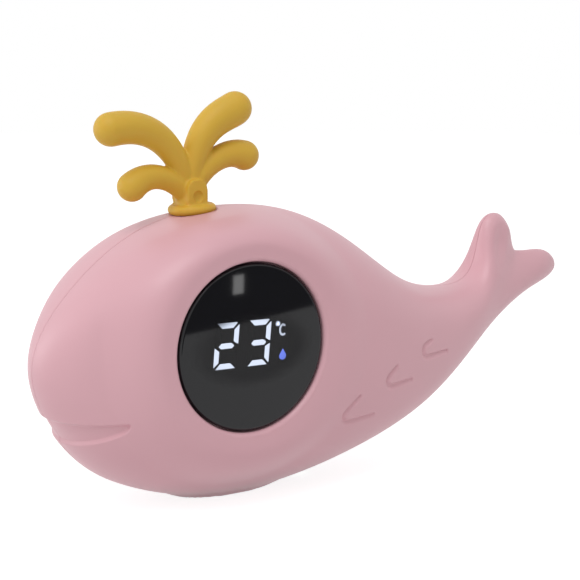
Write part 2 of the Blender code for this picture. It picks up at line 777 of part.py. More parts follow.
def make_door_seal(body, material):
    over = core_solid("over", body, DOOR_THICKNESS + CLOSE_FIT)
    under = core_solid("under", body, DOOR_THICKNESS + CLOSE_FIT + DOOR_SEAL_THICKNESS)
    seal = skin_patch("door_seal", rear_prism("ring", tray_outline(DOOR_SEAL_WIDTH)), over, under)
    cut(seal, rear_prism("hole", tray_outline(CLOSE_FIT)))
    remove(over)
    remove(under)
    seal.data.materials.append(material)
    return seal


def make_screw(name, head, way, reach, material):
    """Pan-head screw: the head's underside at one point, the shank along a direction."""
    turn = Vector(way).to_track_quat("Z", "Y").to_matrix().to_4x4()
    top = -SCREW_HEAD_HEIGHT
    profile = [
        (0, top),
        (SCREW_HEAD_RADIUS * 0.8, top),
        (SCREW_HEAD_RADIUS, top * 0.5),
        (SCREW_HEAD_RADIUS, 0),
        (SCREW_RADIUS, 0),
        (SCREW_RADIUS, reach * 0.85),
        (0, reach),
    ]
    screw = turned(name, profile, head, material, sides=12, turn=turn)
    slot = SLOT_HALF_WIDTH
    deep = SCREW_HEAD_HEIGHT / 2
    for wide, tall in ((slot, SCREW_HEAD_RADIUS * 0.62), (SCREW_HEAD_RADIUS * 0.62, slot)):
        cross = block("slot", (-wide, -tall, -deep), (wide, tall, deep))
        cross.data.transform(Matrix.Translation(head) @ turn @ Matrix.Translation((0, 0, top)))
        cut(screw, cross)
    return screw


def make_lens(material):
    profile = [(0, 0), (LENS_RADIUS - LENS_EDGE, 0)]
    profile += [(LENS_RADIUS - LENS_EDGE + LENS_EDGE * math.sin(math.radians(a)),
                 LENS_EDGE * (1 - math.cos(math.radians(a)))) for a in (45, 90)]
    profile += [(LENS_RADIUS, LENS_THICKNESS), (0, LENS_THICKNESS)]
    turn = Matrix.Rotation(math.radians(-90), 4, "X")
    place = (LENS_X, LENS_FRONT_Y, LENS_HEIGHT)
    return turned("display_lens", profile, place, material, sides=48, turn=turn)


def make_gasket(material):
    gasket = lens_rod("lens_gasket", LENS_RADIUS - 2 * CLOSE_FIT, LENS_BACK_Y, LEDGE_Y, material)
    cut(gasket, lens_rod("hole", OPENING_RADIUS + CLOSE_FIT, LENS_BACK_Y - PAST, LEDGE_Y + PAST))
    return gasket


def digit_point(index, column, row):
    """Place in a digit: column -1 to 1 and row -1 to 1, slanted as the segments are."""
    z = DIGIT_OFFSET_Z + row * DIGIT_HALF_HEIGHT
    x = DIGIT_OFFSET_X + index * DIGIT_PITCH + column * DIGIT_HALF_WIDTH
    return Vector((LENS_X + x + DIGIT_SLANT * (z - DIGIT_OFFSET_Z), LENS_HEIGHT + z))


SEGMENT_ENDS = {
    "a": ((-1, 1), (1, 1)),
    "b": ((1, 1), (1, 0)),
    "c": ((1, 0), (1, -1)),
    "d": ((-1, -1), (1, -1)),
    "e": ((-1, 0), (-1, -1)),
    "f": ((-1, 1), (-1, 0)),
    "g": ((-1, 0), (1, 0)),
}


def segment_outline(index, letter, grow=0.0):
    """Bar between two corners of a digit. Its outer edge runs further than its inner edge,
    with mitred ends at the digit's corners, and the middle bar is pointed at both ends."""
    corners = SEGMENT_ENDS[letter]
    ends = [digit_point(index, *corner) for corner in corners]
    way = (ends[1] - ends[0]).normalized()
    side = Vector((-way.y, way.x))
    if side.dot(ends[0] + ends[1] - 2 * digit_point(index, 0, 0)) < 0:
        side = -side
    half = SEGMENT_WIDTH / 2 + grow
    if letter == "g":
        start = ends[0] + way * (SEGMENT_GAP - grow)
        stop = ends[1] - way * (SEGMENT_GAP - grow)
        points = [start, start + (way + side) * half, stop + (side - way) * half, stop,
                  stop - (way + side) * half, start + (way - side) * half]
        return [(p.x, p.y) for p in points]
    points = []
    for end, corner, inward in ((ends[0], corners[0], way), (ends[1], corners[1], -way)):
        at_middle = corner[1] == 0
        gap = (SEGMENT_MIDDLE_GAP if at_middle else SEGMENT_GAP) - grow
        slope = SEGMENT_MIDDLE_SLOPE if at_middle else 1.0
        points.append((end + side * half + inward * (gap - slope * half),
                       end - side * half + inward * (gap + slope * half)))
    (outer_start, inner_start), (outer_stop, inner_stop) = points
    return [(p.x, p.y) for p in (outer_start, outer_stop, inner_stop, inner_start)]


def strip_outline(points, width):
    """Outline of a band along a path, its corners mitred."""
    left = []
    right = []
    for i, point in enumerate(points):
        before = (point - points[i - 1]).normalized() if i else None
        after = (points[i + 1] - point).normalized() if i + 1 < len(points) else None
        ways = [way for way in (before, after) if way is not None]
        mean = sum(ways, Vector((0, 0))).normalized()
        side = Vector((-mean.y, mean.x))
        stretch = 1.0 / max(side.dot(Vector((-ways[0].y, ways[0].x))), 0.3)
        left.append(point + side * width / 2 * stretch)
        right.append(point - side * width / 2 * stretch)
    return [(p.x, p.y) for p in left + right[::-1]]


def icon_point(offset, x, z):
    return Vector((LENS_X + offset[0] + x, LENS_HEIGHT + offset[1] + z))


def ring_outline(radius, grow=0.0):
    return arc(icon_point(DEGREE_OFFSET, 0, 0), radius + grow, 0, 360 - 30, 11)


def celsius_outline(grow=0.0):
    """Letter C as a band round three quarters of an oval."""
    half_x, half_z = CELSIUS_SIZE[0] / 2 - ICON_STROKE / 2, CELSIUS_SIZE[1] / 2 - ICON_STROKE / 2
    path = []
    for i in range(11):
        angle = math.radians(48 + (312 - 48) * i / 10)
        path.append(icon_point(CELSIUS_OFFSET, half_x * math.cos(angle), half_z * math.sin(angle)))
    return strip_outline(path, ICON_STROKE + 2 * grow)


def drop_outline(grow=0.0):
    """Water drop: a round bottom drawn up to a point."""
    radius = DROP_SIZE[0] / 2 + grow
    centre = icon_point(DROP_OFFSET, 0, -DROP_SIZE[1] / 2 + DROP_SIZE[0] / 2)
    tip = icon_point(DROP_OFFSET, 0, DROP_SIZE[1] / 2 + grow)
    return arc(centre, radius, 150, 390, 12) + [(tip.x, tip.y)]


def window(name, outline, material=None):
    """Bar of a symbol, as deep as the mask."""
    return slab(name, outline, MASK_FRONT_Y, MASK_BACK_Y, material)


def make_spine(name, path, material=None):
    """Thin strip behind the mask that holds lit bars together."""
    return slab(name, strip_outline(path, SPINE_WIDTH), MASK_BACK_Y, MASK_BACK_Y + SPINE_DEPTH, material)


def make_digit(name, index, letters, corners, branch, material):
    """Lit bars of a digit, moulded on one spine behind the mask. The spine runs through
    the digit's corners, with a branch where the bars don't lie on one line."""
    digit = make_spine(name, [digit_point(index, *corner) for corner in corners], material)
    if branch:
        join(digit, make_spine("branch", [digit_point(index, *corner) for corner in branch]))
    for letter in letters:
        bar = slab("bar", segment_outline(index, letter), MASK_FRONT_Y, MASK_BACK_Y + SPINE_DEPTH / 2)
        join(digit, bar)
    return digit


def make_celsius(material):
    sign = slab("celsius_sign", celsius_outline(), MASK_FRONT_Y, MASK_BACK_Y + SPINE_DEPTH / 2, material)
    ring = slab("ring", ring_outline(DEGREE_RADIUS), MASK_FRONT_Y, MASK_BACK_Y + SPINE_DEPTH / 2)
    hole = ring_outline(DEGREE_RADIUS * DEGREE_HOLE_SHARE)
    cut(ring, slab("hole", hole, MASK_FRONT_Y - PAST, MASK_BACK_Y))
    join(sign, ring)
    start = icon_point(DEGREE_OFFSET, 0, 0)
    end = icon_point(CELSIUS_OFFSET, -CELSIUS_SIZE[0] / 2 + ICON_STROKE, ICON_STROKE / 2)
    join(sign, make_spine("spine", [start, end]))
    return sign


def make_mask(material):
    mask = lens_rod("display_mask", MASK_RADIUS, MASK_FRONT_Y, MASK_BACK_Y, material)
    holes = [segment_outline(index, letter, CLOSE_FIT) for index in (0, 1) for letter in SEGMENT_ENDS]
    holes += [ring_outline(DEGREE_RADIUS, CLOSE_FIT), celsius_outline(CLOSE_FIT), drop_outline(CLOSE_FIT)]
    for outline in holes:
        cut(mask, slab("hole", outline, MASK_FRONT_Y - PAST, MASK_BACK_Y + PAST))
    return mask


def well_boxes():
    """Light wells behind the two digits and the icons, as X and Z ranges."""
    margin = WELL_DEPTH_MARGIN
    tall = DIGIT_HALF_HEIGHT + margin
    boxes = []
    for index in (0, 1):
        middle = DIGIT_OFFSET_X + index * DIGIT_PITCH
        half = DIGIT_HALF_WIDTH + margin
        boxes.append((middle - half, middle + half, DIGIT_OFFSET_Z - tall, DIGIT_OFFSET_Z + tall))
    left = DEGREE_OFFSET[0] - margin / 2
    right = CELSIUS_OFFSET[0] + CELSIUS_SIZE[0] / 2 + margin / 2
    boxes.append((left, right, DIGIT_OFFSET_Z - tall, DIGIT_OFFSET_Z + tall))
    return boxes


def make_housing(material):
    housing = lens_rod("led_housing", MASK_RADIUS, MASK_BACK_Y, BOARD_FRONT_Y, material)
    for low_x, high_x, low_z, high_z in well_boxes():
        cut(housing, block("well", (LENS_X + low_x, MASK_BACK_Y - PAST, LENS_HEIGHT + low_z),
                           (LENS_X + high_x, BOARD_FRONT_Y + PAST, LENS_HEIGHT + high_z)))
    return housing


def make_leds(material):
    """One light chip on the board in each well."""
    half = LED_HALF_WIDTH
    for number, (low_x, high_x, low_z, high_z) in enumerate(well_boxes(), 1):
        x = LENS_X + (low_x + high_x) / 2
        z = LENS_HEIGHT + (low_z + high_z) / 2
        low = (x - half, BOARD_FRONT_Y - LED_HEIGHT, z - half)
        high = (x + half, BOARD_FRONT_Y, z + half)
        block(f"led_chip_{number}", low, high, material, rounding=EDGE_ROUNDING)


def make_board(material):
    board = lens_rod("main_board", BOARD_RADIUS, BOARD_FRONT_Y, BOARD_BACK_Y, material)
    for x, z in boss_places():
        start = (x, BOARD_FRONT_Y - PAST, z)
        cut(board, rod("hole", SCREW_RADIUS + CLEARANCE, start, (x, BOARD_BACK_Y + PAST, z), sides=16))
    return board


def board_box(name, size, offset, material, rounding):
    """A box-shaped part standing on the back of the board."""
    x = LENS_X + offset[0]
    z = LENS_HEIGHT + offset[1]
    low = (x - size[0] / 2, BOARD_BACK_Y, z - size[2] / 2)
    high = (x + size[0] / 2, BOARD_BACK_Y + size[1], z + size[2] / 2)
    return block(name, low, high, material, rounding)


def make_board_parts(black, silver, white):
    board_box("control_chip", CHIP_SIZE, CHIP_OFFSET, black, EDGE_ROUNDING)
    board_box("wire_connector", CONNECTOR_SIZE, CONNECTOR_OFFSET, white, EDGE_ROUNDING)
    x = LENS_X + CAPACITOR_OFFSET[0]
    z = LENS_HEIGHT + CAPACITOR_OFFSET[1]
    top = (x, BOARD_BACK_Y + CAPACITOR_HEIGHT, z)
    rod("capacitor", CAPACITOR_RADIUS, (x, BOARD_BACK_Y, z), top, silver, sides=24)


def cell_centres():
    """Upper and lower cell, and which way each one's positive end points."""
    upper = CELL_MIDDLE_Z + CELL_PITCH / 2
    lower = CELL_MIDDLE_Z - CELL_PITCH / 2
    return ((1, upper, 1), (2, lower, -1))


def make_cells(material):
    for number, z, way in cell_centres():
        half = CELL_LENGTH / 2
        body_end = half - CELL_NUB_LENGTH
        edge = CELL_EDGE
        profile = [
            (0, -half),
            (CELL_RADIUS - edge, -half),
            (CELL_RADIUS, -half + edge),
            (CELL_RADIUS, body_end - edge),
            (CELL_RADIUS - edge, body_end),
            (CELL_NUB_RADIUS, body_end),
            (CELL_NUB_RADIUS, half),
            (0, half),
        ]
        turn = Matrix.Rotation(math.radians(90 * way), 4, "Y")
        turned(f"battery_cell_{number}", profile, (TRAY_X, CELL_DEPTH_Y, z), material, sides=20, turn=turn)


def contact_plate(name, x, low_z, high_z, material):
    half_y = CELL_RADIUS * 0.62
    high = (x + CONTACT_THICKNESS, CELL_DEPTH_Y + half_y, high_z)
    return block(name, (x, CELL_DEPTH_Y - half_y, low_z), high, material)


def make_spring(name, start_x, way, z):
    """Conical wire spring that stands on a contact plate."""
    steps = 10
    count = SPRING_TURNS * steps
    wire = bpy.data.curves.new(name, "CURVE")
    wire.dimensions = "3D"
    wire.bevel_depth = SPRING_WIRE
    wire.bevel_resolution = 1
    wire.use_fill_caps = True
    line = wire.splines.new("POLY")
    line.points.add(count)
    for i in range(count + 1):
        share = i / count
        angle = 2 * math.pi * i / steps
        radius = SPRING_RADIUS - SPRING_TAPER * share
        x = start_x + way * (SPRING_WIRE * 0.4 + share * (SPRING_LENGTH - 2 * SPRING_WIRE))
        line.points[i].co = (x, CELL_DEPTH_Y + radius * math.cos(angle), z + radius * math.sin(angle), 1)
    spring = bpy.data.objects.new(name, wire)
    bpy.context.scene.collection.objects.link(spring)
    return mesh_from_curve(spring)


def mesh_from_curve(thing):
    """Turn a bevelled curve into a mesh object of the same name."""
    graph = bpy.context.evaluated_depsgraph_get()
    mesh = bpy.data.meshes.new_from_object(thing.evaluated_get(graph))
    name = thing.name
    curve = thing.data
    bpy.data.objects.remove(thing, do_unlink=True)
    bpy.data.curves.remove(curve)
    bm = bmesh.new()
    bm.from_mesh(mesh)
    bpy.data.meshes.remove(mesh)
    bmesh.ops.remove_doubles(bm, verts=bm.verts, dist=1e-6)
    return add_object(name, bm)


def contact_bump(low_x, high_x, z):
    """Square bump that touches a cell's positive end."""
    half = BUMP_HALF_WIDTH
    return block("bump", (low_x, CELL_DEPTH_Y - half, z - half), (high_x, CELL_DEPTH_Y + half, z + half))


def make_contacts(material):
    """Plates and springs at the ends of the cells, which sit in series."""
    (_, upper_z, _), (_, lower_z, _) = cell_centres()
    half = CELL_RADIUS * 0.72
    left = TRAY_X - TRAY_HALF_X + CLEARANCE
    right = TRAY_X + TRAY_HALF_X - CLEARANCE - CONTACT_THICKNESS
    minus = contact_plate("spring_contact", left, upper_z - half, upper_z + half, material)
    join(minus, make_spring("spring", left + CONTACT_THICKNESS, 1, upper_z))
    plus = contact_plate("plus_contact", left, lower_z - half, lower_z + half, material)
    nub = SPRING_LENGTH - CLEARANCE
    inside = CONTACT_THICKNESS / 4
    join(plus, contact_bump(left + inside, left + CONTACT_THICKNESS + nub, lower_z))
    bridge = contact_plate("bridge_contact", right, lower_z - half, upper_z + half, material)
    join(bridge, make_spring("spring", right, -1, lower_z))
    join(bridge, contact_bump(right - nub, right + inside, upper_z))


def make_tray(body, material):
    """Box behind the door that holds the cells, its rim against the shell's frame."""
    tray = rear_prism("battery_tray", tray_outline(TRAY_WALL))
    tray.data.transform(Matrix.Translation((0, TRAY_FLOOR_Y - TRAY_WALL - PAST, 0)))
    keep_inside(tray, core_solid("rim", body, FRAME_DEPTH + CLOSE_FIT))
    cavity = slab("cavity", tray_outline(0.0), TRAY_FLOOR_Y, BODY_THICKNESS)
    cut(tray, cavity)
    low = (TRAY_X - RIB_HALF_LENGTH, TRAY_FLOOR_Y - CLEARANCE, CELL_MIDDLE_Z - RIB_HALF_WIDTH)
    high = (TRAY_X + RIB_HALF_LENGTH, CELL_DEPTH_Y - RIB_DROP, CELL_MIDDLE_Z + RIB_HALF_WIDTH)
    join(tray, block("rib", low, high))
    tray.data.materials.append(material)
    return tray


def belly_z(body, x):
    found, place, normal, index = body.ray_cast(Vector((x, OFF_SEAM, -BODY_HEIGHT)), Vector((0, 0, 1)))
    return place.z


def make_probe(body, metal, bead, wire):
    """Metal cap through the belly with the sensor bead inside, and a water contact on each side."""
    middle, sides = probe_places()
    bottom = max(PROBE_CLEAR_OF_FLOOR, belly_z(body, middle) - PROBE_STANDS_OUT)
    seat = contact_seat(body, middle)
    top = bottom + PROBE_HEIGHT
    inner = PROBE_RADIUS - PROBE_SKIN
    collar = PROBE_RADIUS + PROBE_FLANGE
    profile = [(PROBE_RADIUS * share, bottom + PROBE_RADIUS * rise) for share, rise in CAP_CURVE]
    profile += [
        (PROBE_RADIUS, seat),
        (collar, seat),
        (collar, seat + CONTACT_FLANGE_THICKNESS),
        (PROBE_RADIUS, seat + CONTACT_FLANGE_THICKNESS),
        (PROBE_RADIUS, top),
        (inner, top),
    ]
    profile += [(inner * share, bottom + PROBE_SKIN + inner * rise) for share, rise in reversed(CAP_CURVE)]
    turned("probe_cap", profile, (middle, 0, 0), metal, sides=16)
    bead_low = bottom + PROBE_SKIN + CLEARANCE
    outline = [(0, bead_low)]
    outline += arc((0, bead_low + BEAD_RADIUS), BEAD_RADIUS, -60, 0, 2)
    outline += [
        (BEAD_RADIUS, bead_low + 2 * BEAD_RADIUS),
        (BEAD_NECK_RADIUS, bead_low + 2.6 * BEAD_RADIUS),
        (BEAD_NECK_RADIUS, top),
        (0, top),
    ]
    turned("thermistor", outline, (middle, 0, 0), bead, sides=10)
    for number, x in enumerate(sides, 1):
        low = max(PROBE_CLEAR_OF_FLOOR, belly_z(body, x) - ELECTRODE_STANDS_OUT)
        make_electrode(f"water_electrode_{number}", x, low, contact_seat(body, x), metal)
        make_wire(f"electrode_wire_{number}", (x, 0, low + ELECTRODE_HEIGHT + CLEARANCE), number, wire)
    make_wire("probe_wire", (middle, 0, top + CLEARANCE), 0, wire)


def make_electrode(name, x, low, seat, metal):
    """Pin with a flange that rests inside the belly and a thinner stalk for its wire."""
    collar = ELECTRODE_RADIUS + ELECTRODE_FLANGE
    stalk = ELECTRODE_RADIUS * 0.6
    pin = [
        (0, low),
        (ELECTRODE_RADIUS * 0.7, low),
        (ELECTRODE_RADIUS, low + ELECTRODE_RADIUS * 0.3),
        (ELECTRODE_RADIUS, seat),
        (collar, seat),
        (collar, seat + CONTACT_FLANGE_THICKNESS),
        (stalk, seat + CONTACT_FLANGE_THICKNESS),
        (stalk, low + ELECTRODE_HEIGHT),
        (0, low + ELECTRODE_HEIGHT),
    ]
    turned(name, pin, (x, 0, 0), metal, sides=10)


def bezier(points, share):
    """Point of a Bezier curve, by repeated interpolation."""
    points = [Vector(p) for p in points]
    while len(points) > 1:
        points = [a.lerp(b, share) for a, b in zip(points, points[1:])]
    return points[0]


def tube(name, points, radius, material, count=11):
    """Round wire along a smooth curve through control points."""
    line = bpy.data.curves.new(name, "CURVE")
    line.dimensions = "3D"
    line.bevel_depth = radius
    line.bevel_resolution = 1
    line.use_fill_caps = True
    spline = line.splines.new("POLY")
    spline.points.add(count - 1)
    for i in range(count):
        spline.points[i].co = (*bezier(points, i / (count - 1)), 1)
    wire = bpy.data.objects.new(name, line)
    bpy.context.scene.collection.objects.link(wire)
    wire = mesh_from_curve(wire)
    wire.data.materials.append(material)
    return wire


def connector_pin(slot):
    """Where wire number 0 to 4 leaves the connector's back."""
    x = LENS_X + CONNECTOR_OFFSET[0] + (slot - 2) * CONNECTOR_PITCH
    return Vector((x, BOARD_BACK_Y + CONNECTOR_SIZE[1] + CLEARANCE, LENS_HEIGHT + CONNECTOR_OFFSET[1]))


def make_wire(name, start, slot, material):
    """Wire from a contact in the belly up to the connector on the board."""
    start = Vector(start)
    slots = {0: 3, 1: 2, 2: 4}
    end = connector_pin(slots[slot])
    up = WIRE_BEND
    points = [start, start + Vector((0, 0, up)), Vector(((start.x + end.x) / 2, 0, start.z + up * 2)),
              end + Vector((0, up, -up)), end + Vector((0, up * 0.8, 0)), end]
    return tube(name, points, WIRE_RADIUS, material)


def make_battery_wires(material):
    """Wires from the two end contacts, through the tray's end wall gap, to the connector."""
    (_, upper_z, _), (_, lower_z, _) = cell_centres()
    left = TRAY_X - TRAY_HALF_X - TRAY_WALL - CLEARANCE
    for number, z, slot in ((1, upper_z, 0), (2, lower_z, 1)):
        start = Vector((left, TRAY_FLOOR_Y + 3 * WIRE_RADIUS, z))
        aside = start - Vector((BATTERY_WIRE_OUT, 0, 0))
        back = aside - Vector((0, BATTERY_WIRE_BACK, 0))
        end = connector_pin(slot)
        points = [start, aside, back, end + Vector((0, WIRE_BEND, 0)), end]
        tube(f"battery_wire_{number}", points, WIRE_RADIUS, material)


def jet_solid(name, root, points, radii, material=None):
    """Finger with a round tip: rings of growing width along a curve, bridged."""
    path = [root, *points]
    rings = 8
    sides = 10
    stations = []
    for i in range(rings):
        share = i / (rings - 1)
        radius = (1 - share) ** 2 * radii[0] + 2 * share * (1 - share) * radii[1] + share ** 2 * radii[2]
        stations.append((bezier(path, share), radius))
    end, end_radius = stations[-1]
    way = (end - bezier(path, 0.96)).normalized()
    for degrees in (35, 66):
        angle = math.radians(degrees)
        stations.append((end + way * end_radius * math.sin(angle), end_radius * math.cos(angle)))
    bm = bmesh.new()
    loops = []
    for i, (centre, radius) in enumerate(stations):
        if i == 0:
            along = stations[1][0] - centre
        elif i + 1 < rings:
            along = stations[i + 1][0] - stations[i - 1][0]
        else:
            along = way
        turn = Vector((along.x, 0, along.y)).to_track_quat("Z", "Y").to_matrix().to_4x4()
        place = Matrix.Translation((centre.x, 0, centre.y)) @ turn
        is_end = i in (0, len(stations) - 1)
        ring = bmesh.ops.create_circle(bm, cap_ends=is_end, segments=sides, radius=radius, matrix=place)
        loops.append([edge for vertex in ring["verts"] for edge in vertex.link_edges])
    for near, far in zip(loops, loops[1:]):
        bmesh.ops.bridge_loops(bm, edges=list(set(near)) + list(set(far)))
    return add_object(name, bm, material)


def make_spout(body, material):
    """Silicone spout: flange, neck, four jets, and a barbed stem through the shells."""
    stem_end = -STEM_LENGTH
    profile = [
        (0, stem_end - BARB_LENGTH),
        (STEM_RADIUS * 0.8, stem_end - BARB_LENGTH),
        (BARB_RADIUS, stem_end),
        (STEM_RADIUS, stem_end + BARB_EDGE),
        (STEM_RADIUS, 0),
        (FLANGE_RADIUS - FLANGE_EDGE, 0),
        (FLANGE_RADIUS, FLANGE_EDGE),
        (FLANGE_RADIUS, FLANGE_THICKNESS - FLANGE_EDGE),
        (FLANGE_RADIUS - FLANGE_EDGE, FLANGE_THICKNESS),
        (NECK_RADIUS * 0.95, FLANGE_THICKNESS),
        (NECK_RADIUS, FLANGE_THICKNESS + NECK_FOOT),
        (NECK_RADIUS * 0.98, NECK_HEIGHT),
        (NECK_RADIUS * 0.6, NECK_HEIGHT + 0.78 * NECK_DOME),
        (0, NECK_HEIGHT + NECK_DOME),
    ]
    spout = turned("water_spout", profile, (0, 0, 0), material, sides=20)
    spout.data.transform(spout_frame(body))
    seat = spout_seat(body).xz
    for name, points, radii in JETS:
        root = seat + Vector(JET_ROOT) * MM
        path = [seat + Vector(point) * MM for point in points]
        join(spout, jet_solid(name, root, path, [radius * MM for radius in radii]))
    return spout


def main():
    clear_scene()
    pink = plastic("pink_plastic", (0.60, 0.32, 0.34), 0.42)
    yellow = plastic("yellow_silicone", (0.55, 0.31, 0.04), 0.5)
    smoke = plastic("smoked_lens", (0.02, 0.02, 0.022), 0.05)
    black = plastic("black_plastic", (0.015, 0.015, 0.016), 0.5)
    white = plastic("white_plastic", (0.8, 0.8, 0.78), 0.5)
    glow = plastic("lit_segment", (0.8, 0.88, 1.0), 0.4)
    dark = plastic("dark_segment", (0.05, 0.05, 0.055), 0.5)
    blue = plastic("blue_segment", (0.1, 0.15, 0.9), 0.4)
    green = plastic("board_green", (0.02, 0.16, 0.06), 0.45)
    steel = plastic("steel", (0.6, 0.6, 0.6), 0.3, 1.0)
    rubber = plastic("grey_rubber", (0.2, 0.2, 0.2), 0.8)
    copper = plastic("wire_red", (0.5, 0.03, 0.03), 0.5)

    body = body_solid("body")
    make_front_shell(body, pink)
    make_rear_shell(body, pink)
    make_battery_door(body, pink)
    make_door_seal(body, rubber)
    for number, (x, z) in enumerate(door_screw_places(), 1):
        seat_y = surface_y(body, x, z) - DOOR_HEAD_SINK
        make_screw(f"door_screw_{number}", (x, seat_y, z), (0, -1, 0), DOOR_SCREW_REACH, steel)
    make_tray(body, black)
    make_cells(steel)
    make_contacts(steel)
    make_lens(smoke)
    make_gasket(black)
    make_mask(black)
    make_digit("tens_digit", 0, "abged", ((-1, 1), (1, 1), (1, 0), (-1, 0), (-1, -1), (1, -1)), None, glow)
    make_digit("units_digit", 1, "abgcd", ((-1, 1), (1, 1), (1, -1), (-1, -1)), ((-0.8, 0), (1, 0)), glow)
    for name, index, letter in (("tens_dark_upper", 0, "f"), ("tens_dark_lower", 0, "c"),
                                ("units_dark_upper", 1, "f"), ("units_dark_lower", 1, "e")):
        window(name, segment_outline(index, letter), dark)
    make_celsius(glow)
    window("water_drop", drop_outline(), blue)
    make_housing(white)
    make_leds(white)
    make_board(green)
    make_board_parts(black, steel, white)
    for number, (x, z) in enumerate(boss_places(), 1):
        make_screw(f"board_screw_{number}", (x, BOARD_BACK_Y, z), (0, -1, 0), SCREW_REACH, steel)
    make_probe(body, steel, black, copper)
    make_battery_wires(copper)
    make_spout(body, yellow)
    remove(body)


if __name__ == "__main__":
    main()
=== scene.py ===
"""Looks of a floating bath thermometer in the shape of a small whale.

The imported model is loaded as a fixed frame. Dense skins replace the two shells, the
battery door, the lens, the spout and the metal contacts, and every other piece of the
frame gets a finish. The head points to -X and the display faces -Y.
"""

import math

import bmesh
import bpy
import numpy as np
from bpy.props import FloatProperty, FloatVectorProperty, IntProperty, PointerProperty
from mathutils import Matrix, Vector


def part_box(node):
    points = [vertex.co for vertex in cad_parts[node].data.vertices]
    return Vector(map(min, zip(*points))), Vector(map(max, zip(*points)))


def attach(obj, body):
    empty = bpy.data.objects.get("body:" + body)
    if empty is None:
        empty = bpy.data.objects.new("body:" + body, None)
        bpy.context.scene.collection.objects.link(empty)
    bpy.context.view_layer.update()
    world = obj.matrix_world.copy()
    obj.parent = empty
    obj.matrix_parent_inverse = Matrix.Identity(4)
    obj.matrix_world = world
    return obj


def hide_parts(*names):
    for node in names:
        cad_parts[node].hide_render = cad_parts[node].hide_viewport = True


bl_info = {
    "name": "Whale Bath Thermometer",
    "version": (1, 0, 0),
    "blender": (4, 5, 0),
    "location": "3D View > Sidebar > Bath Whale",
    "description": "Builds the skins, finishes and studio of a whale-shaped bath thermometer",
    "category": "Object",
}

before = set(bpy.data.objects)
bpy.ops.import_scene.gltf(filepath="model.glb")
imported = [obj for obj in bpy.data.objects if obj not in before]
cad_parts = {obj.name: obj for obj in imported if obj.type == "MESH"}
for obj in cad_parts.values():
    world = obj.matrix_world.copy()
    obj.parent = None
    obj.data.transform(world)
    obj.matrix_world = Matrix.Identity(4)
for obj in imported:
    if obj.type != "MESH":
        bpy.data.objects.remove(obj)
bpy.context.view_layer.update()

MM = 0.001
CLEARANCE = 0.3 * MM
CUTTER_REACH = 4 * MM
MERGE_DISTANCE = 2e-7
SMALLEST = 1e-6
EDGE_ANGLE = 35
SHELL_EDGE_ANGLE = 32
SMOOTHING = 0.5
CORNER_STEPS = 12


def middle_of(node):
    low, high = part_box(node)
    return (low + high) / 2


LENS_LOW, LENS_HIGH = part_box("display_lens")
LENS_MIDDLE = middle_of("display_lens")
LENS_RADIUS = (LENS_HIGH.x - LENS_LOW.x) / 2
LENS_FRONT = LENS_LOW.y
LENS_BACK = LENS_HIGH.y
DOOR_LOW, DOOR_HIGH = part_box("battery_door")
SPOUT_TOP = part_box("water_spout")[1].z

# Outline of the body, nose to tail stock. Each row: top point, bottom point, half width,
# and where the shoulder lies: its drop from the top and its reach outwards. The points are
# shares of body length and height, the half width and reach shares of half the thickness.
STATIONS = (
    ((0.029, 0.698), (0.059, 0.141), 0.594, 0.030, 1.02),
    ((0.133, 0.931), (0.129, 0.025), 0.921, 0.058, 0.99),
    ((0.242, 1.027), (0.231, -0.062), 1.020, 0.090, 0.96),
    ((0.395, 1.062), (0.351, -0.075), 1.040, 0.134, 0.92),
    ((0.514, 0.938), (0.507, 0.007), 0.950, 0.166, 0.89),
    ((0.639, 0.692), (0.651, 0.146), 0.743, 0.166, 0.89),
    ((0.773, 0.655), (0.742, 0.333), 0.520, 0.166, 0.89),
    ((0.806, 0.730), (0.831, 0.472), 0.347, 0.166, 0.89),
)
BELLY_SHOULDER = (0.16, 0.88)
NOSE_TIP = (-0.051, 0.504)
TAIL_NOTCH = (0.913, 0.802)
UPPER_LOBE = {
    "outer": ((0.805, 0.910), (0.830, 0.946)),
    "middle": ((0.832, 0.849, 0.228), (0.868, 0.920, 0.178)),
    "inner": (0.897, 0.786),
    "tip": (0.877, 0.962),
}
LOWER_LOBE = {
    "outer": ((0.923, 0.583), (0.991, 0.606)),
    "middle": ((0.932, 0.660, 0.238), (0.985, 0.719, 0.188)),
    "inner": (0.972, 0.814),
    "tip": (1.043, 0.680),
}

# Hooked marks on the flank, in millimetres from the nose and from the floor. Each row:
# middle of the round bend, upper tip, lower tip.
MARKS = (
    ((62.6, 16.6), (65.0, 20.6), (69.9, 15.7)),
    ((74.3, 22.8), (75.4, 25.6), (80.5, 22.0)),
    ((85.6, 27.7), (87.0, 29.7), (92.6, 26.6)),
)

# Jets of the spout in the seam plane, in millimetres from the middle of its seat. Each row:
# three control points of a curve that starts in the neck, and radius at its start, middle
# and end.
JETS = (
    (((-3.0, 12.7), (-8.5, 18.7), (-18.2, 16.8)), (1.6, 3.0, 3.35)),
    (((-1.2, 18.1), (7.5, 19.5), (9.7, 21.0)), (1.8, 3.6, 3.5)),
    (((-1.1, 6.4), (5.8, 13.7), (12.1, 11.5)), (2.6, 1.9, 3.1)),
    (((-2.5, 6.1), (-8.9, 9.9), (-13.6, 5.7)), (2.3, 2.0, 2.95)),
)
JET_ROOT = (-0.5, 2.65)
JETS_TOP = 24.5 * MM


def linear(red, green, blue):
    """Linear colour of an 8-bit display colour."""
    shares = [value / 255 for value in (red, green, blue)]
    return tuple(s / 12.92 if s <= 0.04045 else ((s + 0.055) / 1.055) ** 2.4 for s in shares)


